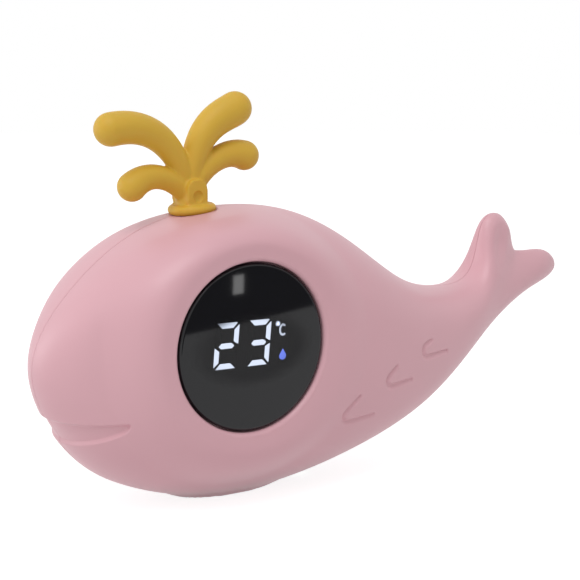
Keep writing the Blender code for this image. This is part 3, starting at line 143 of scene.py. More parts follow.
class ShellSizes(bpy.types.PropertyGroup):
    length: FloatProperty(
        name="Length", description="Nose to tail, before smoothing", default=138.6 * MM, unit="LENGTH")
    height: FloatProperty(
        name="Height", description="Floor to top of the head, before smoothing", default=59.7 * MM,
        unit="LENGTH")
    thickness: FloatProperty(
        name="Thickness", description="Flank to flank, before smoothing", default=40.4 * MM,
        unit="LENGTH")
    detail: IntProperty(
        name="Detail", description="Times the body's cage is subdivided", default=5, min=3, max=6)
    land_blend: FloatProperty(
        name="Land Blend", description="Width of the slope round the flat land of the display",
        default=10.0 * MM, unit="LENGTH")
    foot_draw: FloatProperty(
        name="Foot Draw", description="Height of the belly that is drawn down to the foot",
        default=1.5 * MM, unit="LENGTH")
    foot_pull: FloatProperty(name="Foot Pull", description="How far it is drawn down", default=0.82)
    seam_gap: FloatProperty(
        name="Seam Gap", description="Gap between the two shells", default=0.08 * MM, unit="LENGTH")
    seam_sink: FloatProperty(
        name="Seam Sink", description="Depth of the rounded edges along the seam", default=0.1 * MM,
        unit="LENGTH")
    mouth_depth: FloatProperty(
        name="Mouth Depth", description="Depth of the pressed smile", default=0.65 * MM, unit="LENGTH")
    mark_depth: FloatProperty(
        name="Mark Depth", description="Depth of the engraved marks", default=0.5 * MM, unit="LENGTH")


class DisplaySizes(bpy.types.PropertyGroup):
    rim_rounding: FloatProperty(
        name="Rim Rounding", description="Radius of the rolled edge round the lens", default=1.1 * MM,
        unit="LENGTH")
    lens_edge: FloatProperty(
        name="Lens Edge", description="Radius of the lens's own rounded edge", default=0.8 * MM,
        unit="LENGTH")
    lens_opacity: FloatProperty(
        name="Lens Opacity", description="How much the smoked lens hides", default=0.6, subtype="FACTOR")
    segment_glow: FloatProperty(
        name="Segment Glow", description="Strength of the lit digits", default=6.2)
    sign_glow: FloatProperty(name="Sign Glow", description="Strength of the lit degree sign", default=4.4)
    drop_glow: FloatProperty(name="Drop Glow", description="Strength of the lit water drop", default=5.6)


class SpoutSizes(bpy.types.PropertyGroup):
    flange_radius: FloatProperty(
        name="Flange Radius", description="Radius of the bead on the head", default=4.9 * MM,
        unit="LENGTH")
    flange_thickness: FloatProperty(
        name="Flange Thickness", description="Thickness of the bead on the head", default=2.0 * MM,
        unit="LENGTH")
    neck_radius: FloatProperty(
        name="Neck Radius", description="Radius of the neck", default=3.2 * MM, unit="LENGTH")
    neck_height: FloatProperty(
        name="Neck Height", description="Height of the neck over the seat", default=6.0 * MM,
        unit="LENGTH")
    tilt: FloatProperty(
        name="Tilt", description="Lean of the neck towards the nose", default=math.radians(4.4),
        unit="ROTATION")
    grain: FloatProperty(
        name="Skin Cell", description="Cell size of the moulded skin", default=0.2 * MM, unit="LENGTH")


class FinishColours(bpy.types.PropertyGroup):
    shell: FloatVectorProperty(
        name="Shell", description="Pink of the moulded shells", subtype="COLOR", min=0, max=1,
        default=linear(222, 172, 181))
    spout: FloatVectorProperty(
        name="Spout", description="Yellow of the silicone", subtype="COLOR", min=0, max=1,
        default=linear(216, 174, 60))
    lens: FloatVectorProperty(
        name="Lens", description="Smoke of the lens", subtype="COLOR", min=0, max=1,
        default=linear(9, 9, 15))
    digits: FloatVectorProperty(
        name="Digits", description="Light of the digits", subtype="COLOR", min=0, max=1,
        default=linear(225, 235, 255))
    drop: FloatVectorProperty(
        name="Drop", description="Light of the water drop", subtype="COLOR", min=0, max=1,
        default=linear(117, 139, 251))


class StudioSettings(bpy.types.PropertyGroup):
    azimuth: FloatProperty(
        name="Azimuth", description="Camera's turn round the object", default=math.radians(34.7),
        unit="ROTATION")
    elevation: FloatProperty(
        name="Elevation", description="Camera's height angle", default=math.radians(9.1), unit="ROTATION")
    roll: FloatProperty(
        name="Roll", description="Camera's roll", default=math.radians(1.3), unit="ROTATION")
    distance: FloatProperty(
        name="Distance", description="Camera to the middle of the lens", default=250.8 * MM,
        unit="LENGTH")
    focal_length: FloatProperty(
        name="Focal Length", description="Camera's focal length in millimetres", default=80.69, min=1)
    lamp_power: FloatProperty(
        name="Lamp Power", description="Power of the large soft lamp in watts", default=2.3)
    side_power: FloatProperty(
        name="Side Power", description="Power of the lamp beside the nose in watts", default=0.7)
    fill: FloatProperty(name="Fill", description="Strength of the even light from all round", default=0.6)


# Meshes

def read_points(mesh):
    points = np.empty(len(mesh.vertices) * 3)
    mesh.vertices.foreach_get("co", points)
    return points.reshape(-1, 3)


def read_normals(mesh):
    normals = np.empty(len(mesh.vertices) * 3)
    mesh.vertex_normals.foreach_get("vector", normals)
    return normals.reshape(-1, 3)


def write_points(mesh, points):
    mesh.vertices.foreach_set("co", points.ravel())
    mesh.update()


def smooth_share(value):
    """Smooth step from 0 to 1, for numbers and arrays."""
    held = np.clip(value, 0.0, 1.0)
    return held * held * (3 - 2 * held)


def face_out(bm):
    """Point every face of a closed shape outwards."""
    bmesh.ops.recalc_face_normals(bm, faces=bm.faces)
    if bm.calc_volume(signed=True) < 0:
        bmesh.ops.reverse_faces(bm, faces=bm.faces)


def make_mesh(name, bm):
    """Mesh of a finished bmesh, which is freed."""
    mesh = bpy.data.meshes.new(name)
    bm.to_mesh(mesh)
    bm.free()
    return mesh


def link(name, data):
    """New object at the origin, linked to the scene."""
    thing = bpy.data.objects.new(name, data)
    bpy.context.scene.collection.objects.link(thing)
    return thing


def sharpen(mesh, degrees):
    """Shade smooth, apart from edges steeper than the angle."""
    mesh.shade_smooth()
    mesh.set_sharp_from_angle(angle=math.radians(degrees))


def new_object(name, bm):
    """Link a finished closed bmesh as an object at the origin."""
    face_out(bm)
    mesh = make_mesh(name, bm)
    sharpen(mesh, EDGE_ANGLE)
    return link(name, mesh)


def remove(thing):
    mesh = thing.data
    bpy.data.objects.remove(thing, do_unlink=True)
    bpy.data.meshes.remove(mesh)


def apply_modifiers(thing):
    graph = bpy.context.evaluated_depsgraph_get()
    mesh = bpy.data.meshes.new_from_object(thing.evaluated_get(graph))
    thing.modifiers.clear()
    worn = thing.data
    thing.data = mesh
    bpy.data.meshes.remove(worn)


def combine(thing, tool, operation, keep_tool=False):
    """Join, cut or intersect one closed solid with another."""
    before = len(thing.data.vertices)
    step = thing.modifiers.new(operation.lower(), "BOOLEAN")
    step.operation = operation
    step.object = tool
    step.solver = "MANIFOLD"
    apply_modifiers(thing)
    after = len(thing.data.vertices)
    if after in (0, before):
        raise RuntimeError(f"{tool.name} changed nothing on {thing.name}")
    if not keep_tool:
        remove(tool)


def cut(thing, tool, keep_tool=False):
    combine(thing, tool, "DIFFERENCE", keep_tool)


def join(thing, tool):
    combine(thing, tool, "UNION")


def soften(thing, rounds):
    """Add a smoothing modifier."""
    step = thing.modifiers.new("soften", "SMOOTH")
    step.factor = SMOOTHING
    step.iterations = rounds


def turned(name, profile, place, steps):
    """Spin a profile of (radius, height) points, both ends on the axis, and place it."""
    bm = bmesh.new()
    verts = [bm.verts.new((radius, 0, height)) for radius, height in profile]
    edges = [bm.edges.new(pair) for pair in zip(verts, verts[1:])]
    bmesh.ops.spin(bm, geom=verts + edges, axis=(0, 0, 1), cent=(0, 0, 0), angle=2 * math.pi, steps=steps,
                   use_merge=True)
    bmesh.ops.remove_doubles(bm, verts=bm.verts, dist=MERGE_DISTANCE / 2)
    bmesh.ops.transform(bm, matrix=place, verts=bm.verts)
    return new_object(name, bm)


def facing(middle, y, degrees):
    """Place for a spun piece, its axis turned to lie along Y."""
    return Matrix.Translation((middle.x, y, middle.z)) @ Matrix.Rotation(math.radians(degrees), 4, "X")


def rounded(centre, radius, start, end, steps):
    """Points on an arc, angles in degrees."""
    angles = [math.radians(start + (end - start) * i / steps) for i in range(steps + 1)]
    return [(centre[0] + radius * math.cos(a), centre[1] + radius * math.sin(a)) for a in angles]


def pillar(name, radius, low, high, steps=64):
    """Plain cylinder between two points, used as a cutter."""
    way = high - low
    turn = way.to_track_quat("Z", "Y").to_matrix().to_4x4()
    bm = bmesh.new()
    bmesh.ops.create_cone(bm, cap_ends=True, segments=steps, radius1=radius, radius2=radius,
                          depth=way.length, matrix=Matrix.Translation((low + high) / 2) @ turn)
    return new_object(name, bm)


def round_prism(name, low, high, corner):
    """Box with its four long edges rounded, its length along Y."""
    size = high - low
    bm = bmesh.new()
    place = Matrix.Translation((low + high) / 2) @ Matrix.Diagonal((*size, 1.0))
    bmesh.ops.create_cube(bm, size=1.0, matrix=place)
    long_edges = [edge for edge in bm.edges if abs(edge.verts[0].co.y - edge.verts[1].co.y) > size.y / 2]
    bmesh.ops.bevel(bm, geom=long_edges, offset=corner, affect="EDGES", segments=CORNER_STEPS, profile=0.5,
                    material=-1)
    return new_object(name, bm)


def merged_copy(node):
    """Closed copy of a frame piece, whose own mesh is loose triangles."""
    bm = bmesh.new()
    bm.from_mesh(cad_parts[node].data)
    bmesh.ops.remove_doubles(bm, verts=bm.verts, dist=MERGE_DISTANCE)
    return new_object(node + "_copy", bm)


# Body of the whale

def on_body(sizes, share_x, share_z, y=0.0):
    return Vector((-sizes.length / 2 + share_x * sizes.length, y, share_z * sizes.height))


def station_points(sizes, station):
    """Eight points round one station, front side first."""
    top, bottom, half_width, drop, reach = station
    width = half_width * sizes.thickness / 2
    belly_drop, belly_reach = BELLY_SHOULDER
    across = ((0.0, 0.0), (drop, reach * width), (0.5, width), (1.0 - belly_drop, belly_reach * width),
              (1.0, 0.0))
    points = []
    for share, out in across:
        points.append(on_body(sizes, top[0] + (bottom[0] - top[0]) * share,
                              top[1] + (bottom[1] - top[1]) * share, -out))
    return points + [Vector((p.x, -p.y, p.z)) for p in reversed(points[1:4])]


def body_cage(sizes):
    """Coarse closed cage: bridged rings, a nose point, and two lobes that part at the tail notch."""
    bm = bmesh.new()
    rings = []
    loops = []
    for station in STATIONS:
        ring = bmesh.ops.create_circle(bm, cap_ends=False, segments=8, radius=sizes.height)["verts"]
        for vertex, point in zip(ring, station_points(sizes, station)):
            vertex.co = point
        rings.append(ring)
        loops.append(list({edge for vertex in ring for edge in vertex.link_edges}))
    for near, far in zip(loops, loops[1:]):
        bmesh.ops.bridge_loops(bm, edges=near + far)
    first = rings[0]
    nose = bm.verts.new(on_body(sizes, *NOSE_TIP))
    for i in (0, 2, 4, 6):
        bm.faces.new((nose, first[(i + 2) % 8], first[i + 1], first[i]))
    top, up_front, front, low_front, bottom, low_back, back, up_back = rings[-1]
    notch = bm.verts.new(on_body(sizes, *TAIL_NOTCH))
    add_lobe(bm, sizes, (top, up_front, front), (up_back, back), notch, UPPER_LOBE)
    add_lobe(bm, sizes, (bottom, low_front, front), (low_back, back), notch, LOWER_LOBE)
    return bm


def add_lobe(bm, sizes, near_front, near_back, notch, lobe):
    """One tail lobe between the last ring and the notch."""
    edge, side_front, middle_front = near_front
    side_back, middle_back = near_back
    outer = [bm.verts.new(on_body(sizes, *point)) for point in lobe["outer"]]
    front = []
    back = []
    for x, z, width in lobe["middle"]:
        front.append(bm.verts.new(on_body(sizes, x, z, -width * sizes.thickness / 2)))
        back.append(bm.verts.new(on_body(sizes, x, z, width * sizes.thickness / 2)))
    inner = bm.verts.new(on_body(sizes, *lobe["inner"]))
    tip = bm.verts.new(on_body(sizes, *lobe["tip"]))
    for side, near_side, near_middle in ((front, side_front, middle_front), (back, side_back, middle_back)):
        bm.faces.new((edge, near_side, side[0], outer[0]))
        bm.faces.new((near_side, near_middle, notch, side[0]))
        bm.faces.new((outer[0], side[0], side[1], outer[1]))
        bm.faces.new((side[0], notch, inner, side[1]))
        bm.faces.new((outer[1], side[1], inner, tip))


LAND_MARGIN = 2.9 * MM
LAND_SPARE = 0.05 * MM
LENS_RECESS = 0.6 * MM
SEAM_KEEP = 5.0 * MM

# Shallow dish in both flanks of the upper tail lobe: middle and half size along the lobe,
# in millimetres from the nose and from the floor.
DISH_MIDDLE = (116.9, 48.3)
DISH_HALF_SIZE = (3.0, 7.4)
DISH_LEAN = math.radians(16)
DISH_DEPTH = 0.7 * MM


def dish_share(points, sizes):
    """Depth of the tail's dish as a share, from its outline in X and Z."""
    across = points[:, 0] + sizes.length / 2 - DISH_MIDDLE[0] * MM
    up = points[:, 2] - DISH_MIDDLE[1] * MM
    beside = across * math.cos(DISH_LEAN) - up * math.sin(DISH_LEAN)
    along = across * math.sin(DISH_LEAN) + up * math.cos(DISH_LEAN)
    return 1 - smooth_share(np.hypot(beside / (DISH_HALF_SIZE[0] * MM), along / (DISH_HALF_SIZE[1] * MM)))


def shape_skin(mesh, sizes):
    """Draw the flank round the display to a flat land, the belly to a foot and the tail to a dish."""
    points = read_points(mesh)
    away = np.hypot(points[:, 0] - LENS_MIDDLE.x, points[:, 2] - LENS_MIDDLE.z)
    hold = 1 - smooth_share((away - LENS_RADIUS - LAND_MARGIN) / sizes.land_blend)
    hold *= smooth_share(-points[:, 1] / SEAM_KEEP)
    flat = LENS_FRONT - LENS_RECESS + LAND_SPARE
    points[:, 1] += (flat - points[:, 1]) * hold
    drawn = points[:, 2] - sizes.foot_pull * np.maximum(sizes.foot_draw - points[:, 2], 0.0)
    points[:, 2] = np.where(points[:, 2] < sizes.foot_draw, np.maximum(drawn, 0.0), points[:, 2])
    dent = np.minimum(DISH_DEPTH * dish_share(points, sizes), np.abs(points[:, 1]) / 2)
    points[:, 1] -= np.sign(points[:, 1]) * dent
    write_points(mesh, points)


def body_skin(name, sizes, detail):
    """The smooth closed outside of the whole body."""
    skin = new_object(name, body_cage(sizes))
    smoother = skin.modifiers.new("smooth", "SUBSURF")
    smoother.levels = detail
    smoother.render_levels = detail
    apply_modifiers(skin)
    shape_skin(skin.data, sizes)
    return skin


def shrunk(name, skin, depth):
    """Copy of a skin, moved inwards along its normals."""
    core = link(name, skin.data.copy())
    write_points(core.data, read_points(core.data) - read_normals(core.data) * depth)
    return core


# Smile and marks, pressed into the skin

MOUTH_HALF_WIDTH = 15.1 * MM
MOUTH_TOP = 20.3 * MM
MOUTH_CORNER = 21.1 * MM
MOUTH_BOTTOM = 14.8 * MM
MOUTH_REACH = 17.0 * MM
UPPER_LIP = 1.0 * MM
LOWER_LIP = 0.75 * MM
MARK_BEND = 1.45 * MM
MARK_HALF_WIDTH = 0.9 * MM
MARK_TIP_HALF_WIDTH = 0.7 * MM
MARK_STEEP_WALL = 0.4 * MM
MARK_GENTLE_WALL = 1.4 * MM
MARK_GENTLE_WAY = (0.6, -0.8)
FINE_MARGIN = 1.4 * MM
FINE_CUTS = 3
FINE_ROUNDS = 8
OUT_OF_REACH = 1.0


def mouth_depth_share(points, sizes):
    """Depth of the smile as a share, from its outline in Y and Z."""
    across = np.clip(np.abs(points[:, 1]) / MOUTH_HALF_WIDTH, 0.0, 1.0)
    top = MOUTH_TOP + (MOUTH_CORNER - MOUTH_TOP) * across ** 4
    bottom = MOUTH_CORNER - (MOUTH_CORNER - MOUTH_BOTTOM) * np.sqrt(1 - across ** 2)
    share = smooth_share((top - points[:, 2]) / UPPER_LIP)
    share *= smooth_share((points[:, 2] - bottom) / LOWER_LIP)
    on_head = points[:, 0] < -sizes.length / 2 + MOUTH_REACH
    return np.where(on_head & (np.abs(points[:, 1]) < MOUTH_HALF_WIDTH), share, 0.0)


def mark_lines(mark, nose_x):
    """Round bend of a hooked mark and its two arms, each from the bend to its tip, in X and Z."""
    nose = np.array([nose_x, 0.0])
    centre, upper, lower = (nose + np.array(point) * MM for point in mark)
    touches = []
    arms = []
    for tip, side in ((upper, 1), (lower, -1)):
        way = tip - centre
        touch = math.atan2(way[1], way[0]) + side * math.acos(MARK_BEND / np.linalg.norm(way))
        touches.append(touch)
        arms.append((centre + MARK_BEND * np.array([math.cos(touch), math.sin(touch)]), tip))
    return centre, touches, arms


def mark_offsets(points, sizes, mark):
    """Distance past a mark's edge, offset from its nearest middle line, and half width there.

    The distance is negative inside the stroke.
    """
    flat = points[:, [0, 2]]
    centre, (first, last), arms = mark_lines(mark, -sizes.length / 2)
    from_centre = flat - centre
    away = np.linalg.norm(from_centre, axis=1)
    turn = (np.arctan2(from_centre[:, 1], from_centre[:, 0]) - first) % (2 * math.pi)
    on_bend = turn < (last - first) % (2 * math.pi)
    offset = from_centre * (1 - MARK_BEND / np.maximum(away, SMALLEST))[:, None]
    half_width = np.full(len(points), MARK_HALF_WIDTH)
    past_edge = np.where(on_bend, np.abs(away - MARK_BEND) - half_width, OUT_OF_REACH)
    for start, tip in arms:
        along = tip - start
        share = np.clip(((flat - start) @ along) / (along @ along), 0.0, 1.0)
        beside = flat - start - share[:, None] * along
        width = MARK_HALF_WIDTH + (MARK_TIP_HALF_WIDTH - MARK_HALF_WIDTH) * share
        past_arm = np.linalg.norm(beside, axis=1) - width
        nearer = past_arm < past_edge
        past_edge = np.where(nearer, past_arm, past_edge)
        offset = np.where(nearer[:, None], beside, offset)
        half_width = np.where(nearer, width, half_width)
    return np.where(points[:, 1] < 0, past_edge, OUT_OF_REACH), offset, half_width


def mark_depth_share(points, sizes, mark):
    """Depth of one mark as a share: a steep wall above the stroke and a gentle one below."""
    past_edge, offset, half_width = mark_offsets(points, sizes, mark)
    away = np.linalg.norm(offset, axis=1)
    lean = offset @ np.array(MARK_GENTLE_WAY) / np.maximum(away, SMALLEST)
    middle = (MARK_GENTLE_WALL + MARK_STEEP_WALL) / 2
    swing = (MARK_GENTLE_WALL - MARK_STEEP_WALL) / 2
    near_wall = smooth_share((half_width - away) / (middle + swing * lean))
    far_wall = smooth_share((half_width + away) / (middle - swing * lean))
    return np.where(past_edge < 0, near_wall * far_wall, 0.0)


def refine(mesh, chosen):
    """Split the chosen faces into a finer grid and smooth the new points."""
    bm = bmesh.new()
    bm.from_mesh(mesh)
    bm.faces.ensure_lookup_table()
    edges = {edge for index in np.flatnonzero(chosen) for edge in bm.faces[index].edges}
    split = bmesh.ops.subdivide_edges(bm, edges=list(edges), cuts=FINE_CUTS, use_grid_fill=True)
    fine = [item for item in split["geom_inner"] if isinstance(item, bmesh.types.BMVert)]
    for _ in range(FINE_ROUNDS):
        bmesh.ops.smooth_vert(bm, verts=fine, factor=SMOOTHING, use_axis_x=True, use_axis_y=True,
                              use_axis_z=True)
    bm.to_mesh(mesh)
    bm.free()


def press_features(skin, sizes):
    """Press the smile and the three marks into a finer grid."""
    mesh = skin.data
    centres = np.empty(len(mesh.polygons) * 3)
    mesh.polygons.foreach_get("center", centres)
    centres = centres.reshape(-1, 3)
    near_mouth = centres[:, 0] < -sizes.length / 2 + MOUTH_REACH
    near_mouth &= np.abs(centres[:, 1]) < MOUTH_HALF_WIDTH + FINE_MARGIN
    near_mouth &= centres[:, 2] > MOUTH_BOTTOM - FINE_MARGIN
    near_mouth &= centres[:, 2] < MOUTH_CORNER + FINE_MARGIN
    near_marks = np.min([mark_offsets(centres, sizes, mark)[0] for mark in MARKS], axis=0) < FINE_MARGIN
    refine(mesh, near_mouth | near_marks)
    points = read_points(mesh)
    depth = mouth_depth_share(points, sizes) * sizes.mouth_depth
    for mark in MARKS:
        depth = np.maximum(depth, mark_depth_share(points, sizes, mark) * sizes.mark_depth)
    write_points(mesh, points - read_normals(mesh) * depth[:, None])


# Shells

SEAM_BAND = 0.32 * MM
FOOT_LEVEL = 0.1 * MM
SKIN_DEPTH = 0.9 * MM
CORE_DETAIL = 3

RIM_GAP = 0.31 * MM
ROLL_SINK = 0.02 * MM
ROLL_STEPS = 14
LENS_STEPS = 192
GASKET_THICKNESS = 0.3 * MM
LEDGE_WIDTH = 2.0 * MM
LEDGE_THICKNESS = 2.5 * MM
RIM_CUTTER_REACH = 5 * MM

SPOUT_X = -34.4 * MM
STEM_RADIUS = 2.7 * MM
STEM_LENGTH = 5.6 * MM
BARB_RADIUS = 3.7 * MM
BARB_LENGTH = 2.0 * MM
SEAT_CUT_HEIGHT = 6 * MM
BELLY_CUT_DEPTH = 2 * MM
CONTACT_HOLE = 0.6 * MM


def split_across(bm, y, way, clear=False):
    """Cut a mesh along a plane across Y, and drop what lies beyond it."""
    bmesh.ops.bisect_plane(bm, geom=bm.verts[:] + bm.edges[:] + bm.faces[:], dist=SMALLEST,
                           plane_co=(0, y, 0), plane_no=(0, way, 0), clear_outer=clear)


def sink_seam(skin, sizes):
    """Round both shells' edges by a narrow dip along the seam."""
    bm = bmesh.new()
    bm.from_mesh(skin.data)
    for side in (-1, 1):
        split_across(bm, side * SEAM_BAND, 1)
    bm.to_mesh(skin.data)
    bm.free()
    points = read_points(skin.data)
    on_seam = (np.abs(points[:, 1]) < SEAM_BAND / 3) & (points[:, 2] > FOOT_LEVEL)
    write_points(skin.data, points - read_normals(skin.data) * (on_seam * sizes.seam_sink)[:, None])


def half_skin(name, skin, side, sizes):
    """Closed half of the skin, a little short of the seam plane."""
    bm = bmesh.new()
    bm.from_mesh(skin.data)
    split_across(bm, side * sizes.seam_gap / 2, -side, clear=True)
    rim = [edge for edge in bm.edges if edge.is_boundary]
    bmesh.ops.holes_fill(bm, edges=rim, sides=0)
    return new_object(name, bm)


def inner_void(node, core):
    """What lies under the skin of a shell and isn't its material."""
    void = link(node + "_void", core.data.copy())
    cut(void, merged_copy(node))
    return void


def rim_cutter(display):
    """Recess of the lens: rolled edge, wall, ledge and opening, spun round the lens axis."""
    land = LENS_FRONT - LENS_RECESS
    wall = LENS_RADIUS + RIM_GAP
    radius = display.rim_rounding
    ledge = LENS_BACK + GASKET_THICKNESS
    opening = LENS_RADIUS - LEDGE_WIDTH
    inside = ledge + LEDGE_THICKNESS
    out = land - RIM_CUTTER_REACH
    roll = rounded((wall + radius, land + radius - ROLL_SINK), radius, 270, 180, ROLL_STEPS)
    profile = [(0, out), (roll[0][0], out), *roll, (wall, ledge), (opening, ledge), (opening, inside),
               (0, inside)]
    return turned("rim_cutter", profile, facing(LENS_MIDDLE, 0, -90), LENS_STEPS)


def spout_place(spout):
    """Seat of the spout on the head, leaning with the surface."""
    seat = Vector((SPOUT_X, 0, SPOUT_TOP - JETS_TOP))
    return Matrix.Translation(seat) @ Matrix.Rotation(-spout.tilt, 4, "Y")


def pierce(shell, spout):
    """Extend the holes for the spout and the belly contacts through the skin."""
    place = spout_place(spout)
    above = place @ Vector((0, 0, SEAT_CUT_HEIGHT))
    below = place @ Vector((0, 0, -CUTTER_REACH))
    cut(shell, pillar("stem_hole", STEM_RADIUS + CLEARANCE, below, above))
    cut(shell, pillar("flange_flat", spout.flange_radius + CLEARANCE, place.translation, above, 96))
    for node, radius in CONTACT_RADII.items():
        low = Vector((middle_of(node).x, 0, -BELLY_CUT_DEPTH))
        high = Vector((low.x, 0, flange_heights(node)[0] + CONTACT_HOLE))
        cut(shell, pillar(node + "_hole", radius + CLEARANCE, low, high, 48))


def finish_piece(thing, body_slot, material, *nodes):
    """Put a finished piece on the body, in place of the frame's own pieces."""
    thing.data.materials.clear()
    thing.data.materials.append(material)
    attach(thing, "root")
    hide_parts(*nodes)


def finish_shell(shell, material, node):
    """Finish a pink moulding, with its fine edges kept sharp."""
    sharpen(shell.data, SHELL_EDGE_ANGLE)
    finish_piece(shell, "body_shell", material, node)


class WHALE_OT_build_shells(bpy.types.Operator):
    """Build the dense skins of the front and rear shell"""
    bl_idname = "bath_whale.build_shells"
    bl_label = "Build Shells"

    def execute(self, context):
        sizes = context.scene.whale_shell
        display = context.scene.whale_display
        spout = context.scene.whale_spout
        skin = body_skin("skin", sizes, sizes.detail)
        press_features(skin, sizes)
        sink_seam(skin, sizes)
        plain = body_skin("plain", sizes, CORE_DETAIL)
        core = shrunk("core", plain, SKIN_DEPTH)
        pink = satin_plastic("shell_pink", context.scene.whale_colours.shell)
        front = half_skin("whale_front_shell", skin, -1, sizes)
        cut(front, inner_void("front_shell", core))
        cut(front, rim_cutter(display))
        pierce(front, spout)
        finish_shell(front, pink, "front_shell")
        rear = half_skin("whale_rear_shell", skin, 1, sizes)
        cut(rear, inner_void("rear_shell", core))
        recess = door_prism("recess", CLEARANCE)
        cut(recess, core, keep_tool=True)
        cut(rear, recess)
        pierce(rear, spout)
        finish_shell(rear, pink, "rear_shell")
        for scrap in (core, plain, skin):
            remove(scrap)
        return {"FINISHED"}


# Battery door

DOOR_CORNER = 6.0 * MM
DOOR_THICKNESS = 1.6 * MM
DOOR_CUTTER_INNER = 1.0 * MM
DOOR_CUTTER_OUTER = 24.0 * MM
SCREW_HEAD_RADIUS = 1.6 * MM
SCREW_RADIUS = 0.75 * MM
SCREW_HEAD_HEIGHT = 1.0 * MM
HEAD_SHOULDER = 0.35 * MM
SHOULDER_DEGREES = (0, 22, 45, 68, 90)
SCREW_TIP_SHARE = 0.85
SLOT_SIZES = ((0.28 * MM, 0.95 * MM), (0.95 * MM, 0.28 * MM))
SLOT_DEPTH = 0.6 * MM
SLOT_CORNER = 0.12 * MM


def door_prism(name, grow):
    """Upright rounded box with the door's outline."""
    low = Vector((DOOR_LOW.x - grow, DOOR_CUTTER_INNER, DOOR_LOW.z - grow))
    high = Vector((DOOR_HIGH.x + grow, DOOR_CUTTER_OUTER, DOOR_HIGH.z + grow))
    return round_prism(name, low, high, DOOR_CORNER)


def pan_head(name, node):
    """Pan-head screw with a cross recess, its head towards +Y."""
    low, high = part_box(node)
    middle = middle_of(node)
    length = high.y - low.y
    flat = SCREW_HEAD_RADIUS - HEAD_SHOULDER
    profile = [(0, 0)]
    for angle in map(math.radians, SHOULDER_DEGREES):
        profile.append((flat + HEAD_SHOULDER * math.sin(angle), HEAD_SHOULDER * (1 - math.cos(angle))))
    profile += [(SCREW_HEAD_RADIUS, SCREW_HEAD_HEIGHT), (SCREW_RADIUS, SCREW_HEAD_HEIGHT),
                (SCREW_RADIUS, length * SCREW_TIP_SHARE), (0, length)]
    screw = turned(name, profile, facing(middle, high.y, 90), 48)
    top = Vector((middle.x, high.y, middle.z))
    for wide, tall in SLOT_SIZES:
        half_size = Vector((wide, SLOT_DEPTH, tall))
        cut(screw, round_prism("slot", top - half_size, top + half_size, SLOT_CORNER))
    return screw


class WHALE_OT_build_battery_door(bpy.types.Operator):
    """Build the battery door and its two screws"""
    bl_idname = "bath_whale.build_battery_door"
    bl_label = "Build Battery Door"

    def execute(self, context):
        sizes = context.scene.whale_shell
        skin = body_skin("skin", sizes, sizes.detail)
        core = shrunk("door_core", skin, DOOR_THICKNESS)
        door = door_prism("whale_battery_door", 0.0)
        combine(door, skin, "INTERSECT")
        cut(door, core)
        steel = brushed_metal("screw_steel", linear(196, 196, 194), roughness=0.32,
                              stretch=Vector((900, 900, 900)))
        for number in (1, 2):
            node = f"door_screw_{number}"
            low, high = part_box(node)
            middle = (low + high) / 2
            seat = Vector((middle.x, high.y - SCREW_HEAD_HEIGHT, middle.z))
            reach = Vector((0, CUTTER_REACH, 0))
            cut(door, pillar("seat", SCREW_HEAD_RADIUS + CLEARANCE, seat, seat + reach))
            cut(door, pillar("way", SCREW_RADIUS + CLEARANCE, seat - reach, seat + reach, 32))
            finish_piece(pan_head("whale_" + node, node), "steel", steel, node)
        pink = satin_plastic("door_pink", context.scene.whale_colours.shell)
        finish_shell(door, pink, "battery_door")
        return {"FINISHED"}


# Display

LENS_BACK_EDGE = 0.15 * MM


def lens_profile(display):
    """Flat lens with a rounded front edge and a small chamfer at the back."""
    edge = display.lens_edge
    back = LENS_BACK - LENS_FRONT
    return [(0, 0), *rounded((LENS_RADIUS - edge, edge), edge, 270, 360, 12),
            (LENS_RADIUS, back - LENS_BACK_EDGE), (LENS_RADIUS - LENS_BACK_EDGE, back), (0, back)]


class WHALE_OT_build_display(bpy.types.Operator):
    """Build the smoked lens and light the digits behind it"""
    bl_idname = "bath_whale.build_display"
    bl_label = "Build Display"

    def execute(self, context):
        display = context.scene.whale_display
        colours = context.scene.whale_colours
        place = facing(LENS_MIDDLE, LENS_FRONT, -90)
        lens = turned("whale_display_lens", lens_profile(display), place, LENS_STEPS)
        smoke = smoked_plastic("lens_smoke", colours.lens, display.lens_opacity)
        finish_piece(lens, "smoked_lens", smoke, "display_lens")
        white = lit_plastic("segment_white", colours.digits, display.segment_glow)
        dress(white, "tens_digit", "units_digit")
        dress(lit_plastic("segment_blue", colours.drop, display.drop_glow), "water_drop")
        dress(lit_plastic("sign_white", colours.digits, display.sign_glow), "celsius_sign")
        return {"FINISHED"}


# Spout

def bezier(points, share):
    """Point of a Bezier curve, by repeated interpolation."""
    points = [Vector(point) for point in points]
    while len(points) > 1:
        points = [a.lerp(b, share) for a, b in zip(points, points[1:])]
    return points[0]


JET_RINGS = 28
JET_SIDES = 32
WAY_STEP = 0.02
TIP_DEGREES = (15, 30, 45, 60, 75, 86)


def jet_stations(path, radii):
    """Middle, direction and radius of each ring along a jet and round its tip."""
    stations = []
    for i in range(JET_RINGS):
        share = i / (JET_RINGS - 1)
        radius = (1 - share) ** 2 * radii[0] + 2 * share * (1 - share) * radii[1] + share ** 2 * radii[2]
        way = bezier(path, min(share + WAY_STEP, 1)) - bezier(path, share - WAY_STEP)
        stations.append((bezier(path, share), way, radius * MM))
    end, way, end_radius = stations[-1]
    way = way.normalized()
    for angle in map(math.radians, TIP_DEGREES):
        stations.append((end + way * end_radius * math.sin(angle), way, end_radius * math.cos(angle)))
    return stations


